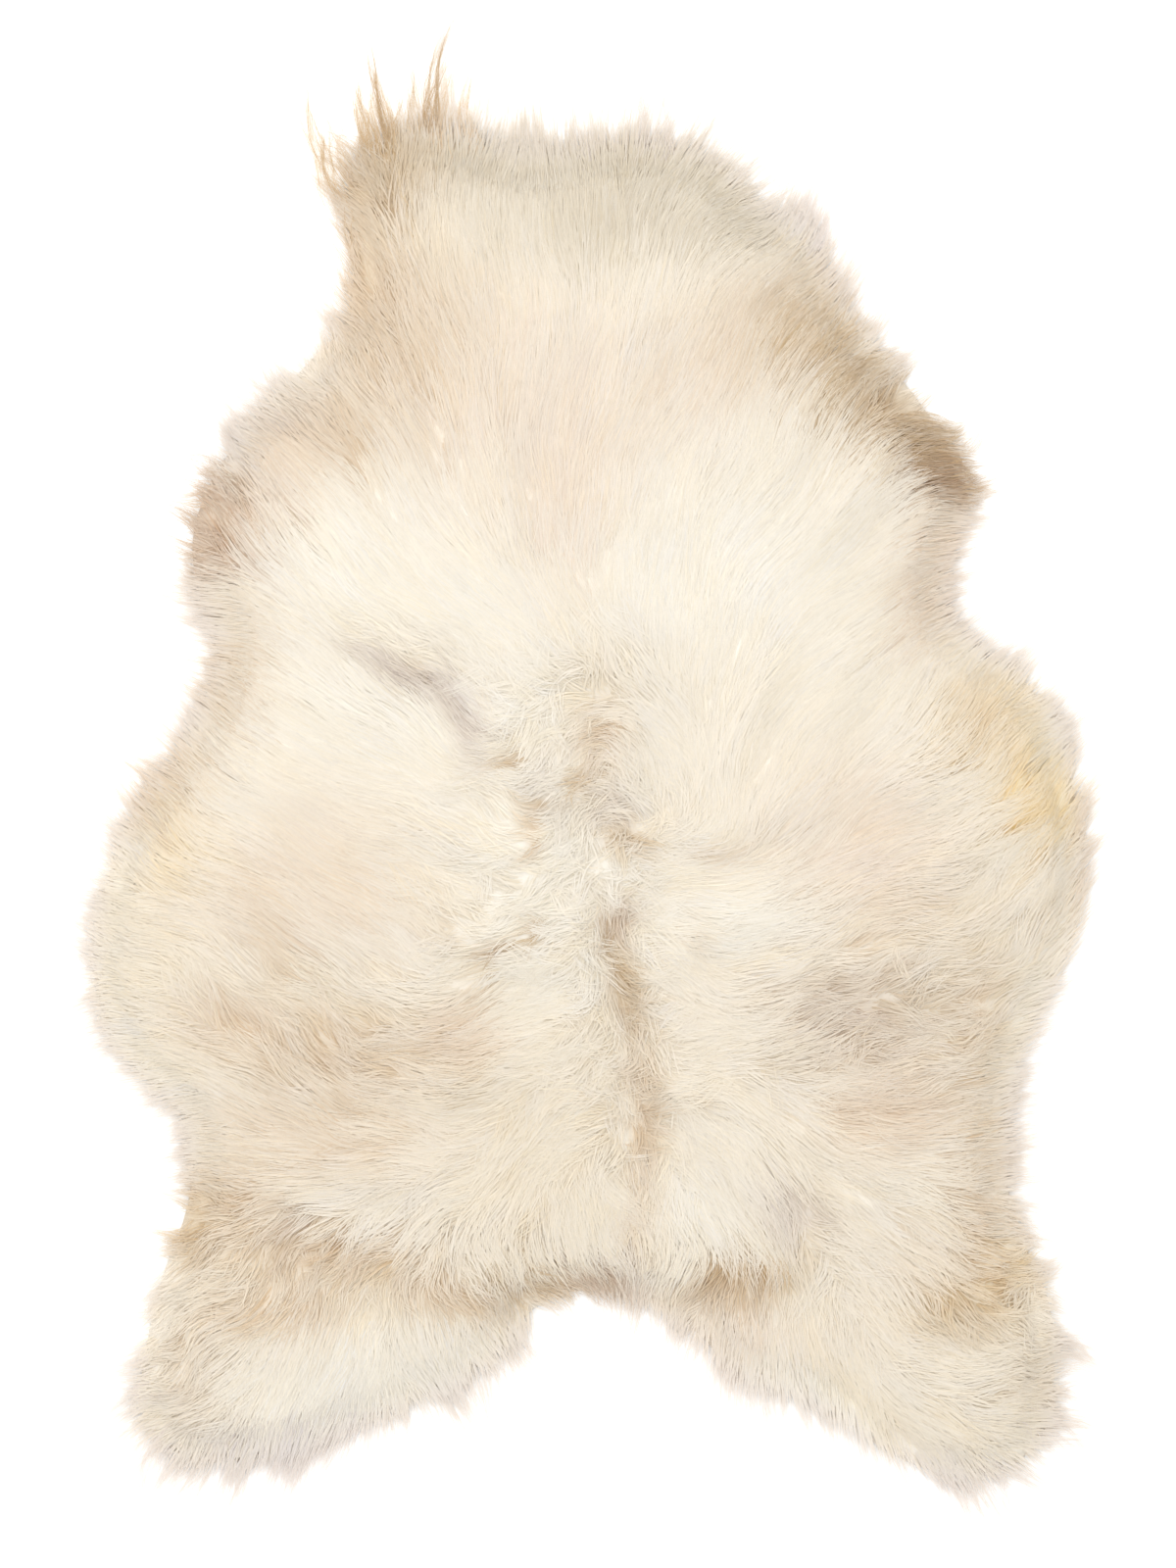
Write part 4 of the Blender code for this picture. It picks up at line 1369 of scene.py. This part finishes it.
@dataclass
class Fleece:
    """The long wool: tapered fibres that lie in locks."""

    pelt: Pelt
    dye: Dye
    finish: WoolFinish
    tinting: Tinting = Tinting()
    tip_width: float = 0.00016
    taper: tuple[float, ...] = (0.55, 1.0, 1.0, 0.9, 0.6, 0.0)
    widths: tuple[float, float] = (0.65, 1.25)
    start: float = 0.16  # where a fibre starts along its lock at the latest
    short: float = 0.42  # how far from the lock's tip it ends at the most
    closing: float = 1.3  # how late the fibres of a lock close up
    turns: tuple[float, float] = (0.8, 1.7)
    lean: float = 0.06
    stray_share: float = 0.05
    stray_spread: float = 1.3
    stray_wave: float = 3.0
    stray_width: float = 0.55
    stray_lift: float = 0.0008
    lock_layer: float = 0.55  # the share of a fibre's depth that its lock decides
    layer_seed: int = 78
    crown: float = 0.0030  # how high a gathered lock stands in its middle
    crown_place: float = 0.7
    rim_start: float = 0.008  # where inside the edge the fibres start to fan out in height
    rim_width: float = 0.022
    rim_top: float = 1.02
    rim_loose: float = 0.04
    rim_fan: float = 0.85
    rim_fan_power: float = 3.5
    rim_thinning: float = 0.6
    thin_start: float = 0.006  # where outside the edge the fibres start to grow thinner
    thin_width: float = 0.018
    least_height: float = 0.0012
    least_spread: float = 0.0010
    upper: float = 0.6  # the share of the fibres that the underwool is laid under
    roll: float = 7.0
    roll_shade: float = 0.10
    lift: float = 0.6  # how far the shading leans upward
    rim_lift: float = 0.8
    round_shade: float = 0.34
    bed_step: float = 0.005
    bed_sink: float = 0.0002
    bed_spread: float = 0.35
    bed_shares: tuple[float, ...] = (0.0, 0.33, 0.67)
    seed: int = 41
    spines: list[Array] = field(default_factory=list)

    def build(self, names: tuple[str, ...], locks: Locks, count: int) -> list[Piece]:
        """Grows fibres in the locks, as pieces of equal size from the neck to the legs.

        Args:
            names: The pieces' names.
            locks: The locks.
            count: How many fibres to grow in all.

        Returns:
            The pieces.
        """
        chance = np.random.default_rng(self.seed)
        owner = chance.choice(len(locks.weight), count, p=locks.weight / locks.weight.sum())
        owner = owner[np.argsort(-locks.lines[owner, 0, 1], kind="stable")]
        material = self.finish.material()
        made = []
        for name, chosen in zip(names, np.array_split(owner, len(names))):
            made.append(new_piece(name, self._fibres(name, chosen, locks, chance), material))
            LOG.info("%s: %d fibres", name, len(chosen))
        return made

    def bed(self) -> Field:
        """Finds the height at which the fibres lie.

        Returns:
            The mean height of the upper fibres over each place, less a part of its spread.
        """
        spines = np.concatenate(self.spines)
        low, high = spines[:, :-1], spines[:, 1:]
        spots = [(low * (1 - share) + high * share).reshape(-1, 3) for share in self.bed_shares]
        places, heights = np.split(np.concatenate(spots), [2], axis=1)
        sums = [tally(self.pelt.outside, self.bed_step, places, heights[:, 0]**power) for power in range(3)]
        count = np.maximum(sums[0].values, TINY)
        mean = sums[1].values / count
        spread = np.sqrt(np.maximum(sums[2].values / count - mean**2, 0.0))
        return Field(sums[0].low, self.bed_step, mean - self.bed_spread * spread - self.bed_sink)

    def _fibres(self, name: str, owner: Array, locks: Locks, chance: Chance) -> Mesh:
        """Makes the mesh of one piece's fibres.

        Args:
            name: The piece's name.
            owner: The lock of each fibre.
            locks: The locks.
            chance: The random draws.

        Returns:
            The mesh, with its tint, its shading and its map.
        """
        count = len(owner)
        coat = Coat(*(np.array(values)[owner][:, None] for values in astuple(locks.coat)))
        stray = chance.random(count) < self.stray_share
        spread = np.sqrt(chance.random(count)) * np.where(stray, self.stray_spread, 1.0)
        disc = turned(np.array([[1.0, 0.0]]), 2 * np.pi * chance.random(count)) * spread[:, None]
        share = np.linspace(0.0, 1.0, STATIONS)[None, :]
        strands = Strands(owner, coat, share, stray, spread[:, None], disc)
        strands.level = self._level(strands, locks, chance)
        strands.outside = self.pelt.outside.at(strands.level)
        edge = eased((strands.outside + self.rim_start) / self.rim_width)
        spine = self._spine(strands, edge, len(locks.weight), chance)
        up = (self.lift + self.rim_lift * edge)[..., None] * np.array([0.0, 0.0, 1.0])
        face = unit(self.pelt.normal(strands.level) + up)
        ahead = unit(np.gradient(spine, axis=1))
        side = unit(np.cross(ahead, face))
        roll = np.radians(self.roll) * chance.standard_normal(count)[:, None, None]
        side = side * np.cos(roll) + unit(np.cross(side, ahead)) * np.sin(roll)
        half = self._width(strands, chance)[..., None] / 2
        points = self._ribbon(spine - side * half, spine + side * half, spine)
        mesh = mesh_of(name, points, *self._faces(count))
        lean = np.concatenate([disc, np.zeros((count, 1))], axis=1)[:, None, :]
        tilt = (self.round_shade * coat.gather * share)[..., None] * lean
        shading = unit(face + tilt + self.roll_shade * np.sin(roll) * side)
        point_normals(mesh, self._ribbon(shading, shading, shading))
        colours = self._tint(strands, locks, chance)
        paint(mesh, self._ribbon(colours, colours, colours))
        self._bake_map(mesh, count)
        return mesh

    def _level(self, strands: Strands, locks: Locks, chance: Chance) -> Array:
        """Draws the fibres' level lines.

        Args:
            strands: The fibres.
            locks: Their locks.
            chance: The random draws.

        Returns:
            The places of their stations.
        """
        each = (len(strands), 1)
        share = strands.share
        radius = locks.radius[strands.owner][:, None]
        start = self.start * chance.random(each)
        end = 1.0 - self.short * chance.random(each)
        centre = along_lines(locks.lines, strands.owner, start + share * (end - start))
        closing = 1.0 - strands.coat.gather * share**self.closing
        level = centre + (strands.disc * radius)[:, None, :] * closing[..., None]
        ahead = unit(np.gradient(level, axis=1))
        side = np.stack([ahead[..., 1], -ahead[..., 0]], axis=-1)
        loose = np.where(strands.stray, self.stray_wave, 1.0)[:, None]
        size = strands.coat.wave * loose * chance.standard_normal(each)
        turns = chance.random(each) + share * chance.uniform(*self.turns, each)
        lean = self.lean * chance.standard_normal(each) * radius
        return level + (size * np.sin(2 * np.pi * turns) * share + lean * share)[..., None] * side

    def _spine(self, strands: Strands, edge: Array, locks: int, chance: Chance) -> Array:
        """Lifts the fibres' level lines to their heights, and keeps the upper ones for the bed.

        Args:
            strands: The fibres, which are told how deep each lies.
            edge: How far each station takes its height from the rim's fan, from 0 to 1.
            locks: How many locks there are.
            chance: The random draws.

        Returns:
            The places of their stations.
        """
        coat, share = strands.coat, strands.share
        height = self.pelt.height.at(strands.level)
        deep = chance.random(len(strands))[:, None]
        over = np.random.default_rng(self.layer_seed).random(locks)[strands.owner]
        own = chance.random(len(strands))
        strands.layer = layer = (self.lock_layer * over + (1.0 - self.lock_layer) * own)[:, None]
        inner = height - coat.sink * (1.0 - share) ** 2 - coat.loose * layer
        crown = self.crown * coat.gather**2 * (1.0 - strands.spread**2)
        inner += crown * np.sin(np.pi * share**self.crown_place)
        inner += np.where(strands.stray, self.stray_lift, 0.0)[:, None] * share
        outer = height * (self.rim_top - self.rim_loose * layer - self.rim_fan * deep**self.rim_fan_power)
        z = np.maximum(inner * (1 - edge) + outer * edge, self.least_height + self.least_spread * deep)
        spine = np.concatenate([strands.level, z[..., None]], axis=-1)
        self.spines.append(spine[deep[:, 0] < self.upper])
        return spine

    def _width(self, strands: Strands, chance: Chance) -> Array:
        """Says how wide the fibres are: tapered, and thinner past the pelt's edge.

        Args:
            strands: The fibres.
            chance: The random draws.

        Returns:
            The width of each at its stations.
        """
        slim = np.where(strands.stray, self.stray_width, 1.0) * chance.uniform(*self.widths, len(strands))
        past = 1.0 - self.rim_thinning * eased((strands.outside - self.thin_start) / self.thin_width)
        shape = slim[:, None] * past * np.array(self.taper)
        return strands.coat.width * shape + self.tip_width / 2

    def _tint(self, strands: Strands, locks: Locks, chance: Chance) -> Array:
        """Colours the fibres: deeper at the roots, partly their own tone and partly painted shade, painted
        shade where they lie deep, paler at the tips and past the edge.

        Args:
            strands: The fibres.
            locks: Their locks.
            chance: The random draws.

        Returns:
            A linear colour for each station.
        """
        like, count, share, outside = self.tinting, len(strands), strands.share, strands.outside
        of_lock = np.random.default_rng(like.seed).standard_normal((3, len(locks.weight)))[:, strands.owner]
        loudness = like.loudness + like.fibre_loudness * chance.random(count)
        loudness += like.lock_loudness * np.abs(of_lock[2]) ** like.lock_power
        colour = self.dye.at(strands.level[:, 2], np.clip(loudness, 0.0, like.loudest))
        own = locks.tone_share[strands.owner][:, None]
        colour = colour * (1 - own) + locks.tone[strands.owner] * own
        shade = 1.0 + like.lock_shade * of_lock[0]
        shade *= 1.0 + like.fibre_shade * chance.standard_normal(count)
        shade = shade[:, None] * (1.0 + np.outer(of_lock[1], like.lock_hue))
        near_edge = eased((outside + like.rim) / like.rim)
        # Painted shade: the roots' deeper colour is partly their own yellower tone and partly shade among
        # the locks, and fibres deep in the wool are darkened as if shaded.
        root = like.root * (1.0 - eased(share / like.root_end)) + like.under * strands.layer
        depth = (strands.coat.depth * (1.0 - like.rim_loss * near_edge) * root)[..., None]
        tinted = (colour * shade)[:, None, :] * colour[:, None, :] ** depth
        pale_wool = eased((colour[:, 1:2] - like.pale_from) / like.pale_over)
        pale = (like.pale + like.pale_gather * strands.coat.gather) * share**2 * (1 - own)
        pale = (pale * (like.dark_pale + (1.0 - like.dark_pale) * pale_wool))[..., None]
        tinted = tinted * (1 - pale) + self.dye.tip.linear * pale
        fade = like.fade * pale_wool * eased((outside + like.fade_start) / like.fade_width) * (1 - own)
        tinted = tinted * (1 - fade[..., None]) + self.dye.rim.linear * fade[..., None]
        return np.clip(tinted, 0.0, like.lightest)

    @staticmethod
    def _ribbon(left: Array, right: Array, middle: Array) -> Array:
        """Puts the fibres' points in order: left and right at each station, and the tip.

        Args:
            left: Values at the stations' left points.
            right: Values at their right points.
            middle: Values on the fibres' own lines.

        Returns:
            A row for each point of the mesh.
        """
        points = np.empty((len(left), FIBRE_POINTS, left.shape[-1]))
        points[:, 0:-1:2] = left[:, :-1]
        points[:, 1:-1:2] = right[:, :-1]
        points[:, -1] = middle[:, -1]
        return points.reshape(-1, left.shape[-1])

    @staticmethod
    def _faces(count: int) -> tuple[Array, Array]:
        """Lists the faces of fibres: four-sided along the fibre and one triangle at its tip.

        Args:
            count: How many fibres there are.

        Returns:
            The faces' corners in turn, and how many each face has.
        """
        one = []
        for base in range(0, FIBRE_POINTS - 3, 2):
            one += [base, base + 1, base + 3, base + 2]
        one += [FIBRE_POINTS - 3, FIBRE_POINTS - 2, FIBRE_POINTS - 1]
        corners = np.array(one)[None, :] + FIBRE_POINTS * np.arange(count)[:, None]
        return corners.ravel(), np.tile([4] * (STATIONS - 2) + [3], count)

    @staticmethod
    def _bake_map(mesh: Mesh, count: int) -> None:
        """Gives each fibre a cell of its own in the map that a bake fills.

        Args:
            mesh: The fibres' mesh.
            count: How many fibres there are.
        """
        side = math.ceil(math.sqrt(count))
        cell = np.stack([np.arange(count) % side, np.arange(count) // side], axis=1) / side
        left, middle, right, bottom, height = 0.2, 0.5, 0.8, 0.1, 0.8  # shares of the cell
        steps = bottom + height * np.arange(STATIONS) / (STATIONS - 1)
        one = []
        for low, high in zip(steps[:-2], steps[1:-1]):
            one += [(left, low), (right, low), (right, high), (left, high)]
        one += [(left, steps[-2]), (right, steps[-2]), (middle, steps[-1])]
        spots = cell[:, None, :] + np.array(one)[None, :, :] / side
        mesh.uv_layers.new(name="OFBake").data.foreach_set("uv", spots.astype(np.float32).ravel())


# Long wisps past the rim. Columns: place, root x, y, tip x, y, bow, radius, fibres, tone.
WISPS = (
    ("left_ear_side", -190, 440, -210, 512, -4, 10, 30, Tone.SAND),
    ("left_ear_outer", -196, 470, -227, 568, -4, 7, 36, Tone.TAN),
    ("left_ear_outer_short", -186, 480, -211, 552, -2, 8, 30, Tone.SAND),
    ("left_ear_thin", -162, 480, -191.4, 572, -5, 6, 30, Tone.TAN),
    ("left_ear_middle", -142, 480, -174.5, 604, -8, 6, 45, Tone.HAZEL),
    ("left_ear_middle_side", -152, 480, -170, 574, -4, 17, 110, Tone.TAN),
    ("left_ear_inner", -126, 490, -108, 620, -9, 6, 45, Tone.HAZEL),
    ("left_ear_inner_side", -129, 490, -135.2, 580, -4, 14, 90, Tone.TAN),
    ("left_ear_front", -105, 490, -102, 580, -4, 22, 160, Tone.SAND),
    ("left_ear_back", -206, 485, -196, 425, -8, 5, 20, Tone.TAN),
    ("poll_left", 11, 470, 11, 554, 4, 22, 60, Tone.MIST),
    ("poll_right", 53, 470, 59, 568, 6, 24, 80, Tone.MIST),
    ("right_ear_tip", 174, 410, 201, 488, -6, 18, 80, Tone.MIST),
    ("right_shoulder_point", 270, 240, 330, 251, 2, 14, 35, Tone.TAN),
    ("left_shoulder_curl", -270, 230, -333, 258, 8, 14, 40, Tone.TAUPE),
    ("left_leg_tip", -320, -510, -355, -592, 8, 18, 60, Tone.MIST),
    ("left_leg_side", -330, -485, -394, -515, 8, 18, 60, Tone.MIST),
    ("right_leg_tip", 305, -530, 337, -604, -8, 18, 60, Tone.MIST),
    ("right_leg_side", 340, -500, 404, -560, -8, 18, 60, Tone.MIST),
)


@dataclass(frozen=True)
class Studio:
    """A pale floor, soft light from above and the camera straight over the rug."""

    lens: float = 120.0
    sensor: float = 36.0
    far: float = 50.0
    floor_size: float = 12.0
    floor_colour: Colour = (0.94, 0.94, 0.94, 1.0)
    floor_roughness: float = 0.9
    sky: float = 1.12
    sky_colour: Colour = (1.0, 1.0, 0.995, 1.0)
    lamp_power: float = 59.0
    lamp_size: float = 3.2
    lamp_place: tuple[float, ...] = (-0.7, 0.9, 3.0)

    def build(self) -> None:
        """Sets up the floor, the lights, the camera and the plain colour response."""
        scene = bpy.context.scene
        scene.view_settings.view_transform = "Standard"
        self._floor()
        scene.world = bpy.data.worlds.new("studio")
        scene.world.use_nodes = True
        background = scene.world.node_tree.nodes["Background"]
        background.inputs["Color"].default_value = self.sky_colour
        background.inputs["Strength"].default_value = self.sky
        lamp = bpy.data.lights.new("softbox", "AREA")
        lamp.shape = "SQUARE"
        lamp.size = self.lamp_size
        lamp.energy = self.lamp_power
        holder = self._placed("softbox", lamp, self.lamp_place)
        holder.rotation_euler = (-Vector(self.lamp_place)).to_track_quat("-Z", "Y").to_euler()
        camera = bpy.data.cameras.new("camera")
        camera.lens = self.lens
        camera.sensor_width = self.sensor
        camera.clip_end = self.far
        height = PHOTO_HEIGHT * self.lens / self.sensor
        scene.camera = self._placed("camera", camera, (*PHOTO_CENTRE, height))

    @staticmethod
    def _placed(name: str, data: bpy.types.ID, place: tuple[float, ...]) -> Piece:
        """Adds an object to the scene.

        Args:
            name: The object's name.
            data: What it holds.
            place: Where it stands.

        Returns:
            The object.
        """
        made = bpy.data.objects.new(name, data)
        made.location = place
        bpy.context.scene.collection.objects.link(made)
        return made

    def _floor(self) -> None:
        """Lays the plain pale floor."""
        half = self.floor_size / 2
        corners = [(-half, -half, 0), (half, -half, 0), (half, half, 0), (-half, half, 0)]
        mesh = bpy.data.meshes.new("floor")
        mesh.from_pydata(corners, [], [(0, 1, 2, 3)])
        nodes = Nodes("floor")
        nodes.existing("Principled BSDF", Base_Color=self.floor_colour, Roughness=self.floor_roughness)
        mesh.materials.append(nodes.material)
        floor = self._placed("floor", mesh, (0.0, 0.0, 0.0))


def main() -> None:
    """Builds the rug and its studio."""
    logging.basicConfig(level=logging.INFO, format="%(message)s")
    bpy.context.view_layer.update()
    pelt = Pelt(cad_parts[NODE])
    LOG.info("pelt edge: %d points", len(pelt.edge))
    dye = Dye()
    hide = Hide(pelt)
    sheet = hide.build()
    LOG.info("hide: %.3f square metres", hide.area)
    wool = WoolFinish("wool")
    coat = Fleece(pelt, dye, wool)
    fleece = coat.build(FLEECE_PIECES, Combing(pelt, Comb(pelt)).locks(), FIBRE_COUNT)
    dense = WoolFinish("underwool", fleck=0.08, fleck_scale=260.0, glow=0.2)
    underwool = Underwool(pelt, dye).build(dense, coat.bed())
    LOG.info("underwool: %d faces", len(underwool.data.polygons))
    wisps, count = LongWisps().locks()
    long_wool = Fleece(pelt, dye, wool, short=0.25, start=0.4)
    fleece += long_wool.build(("fleece_wisps",), wisps, count)
    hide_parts(NODE)
    Studio().build()
    bpy.context.view_layer.update()


if __name__ == "__main__":
    main()
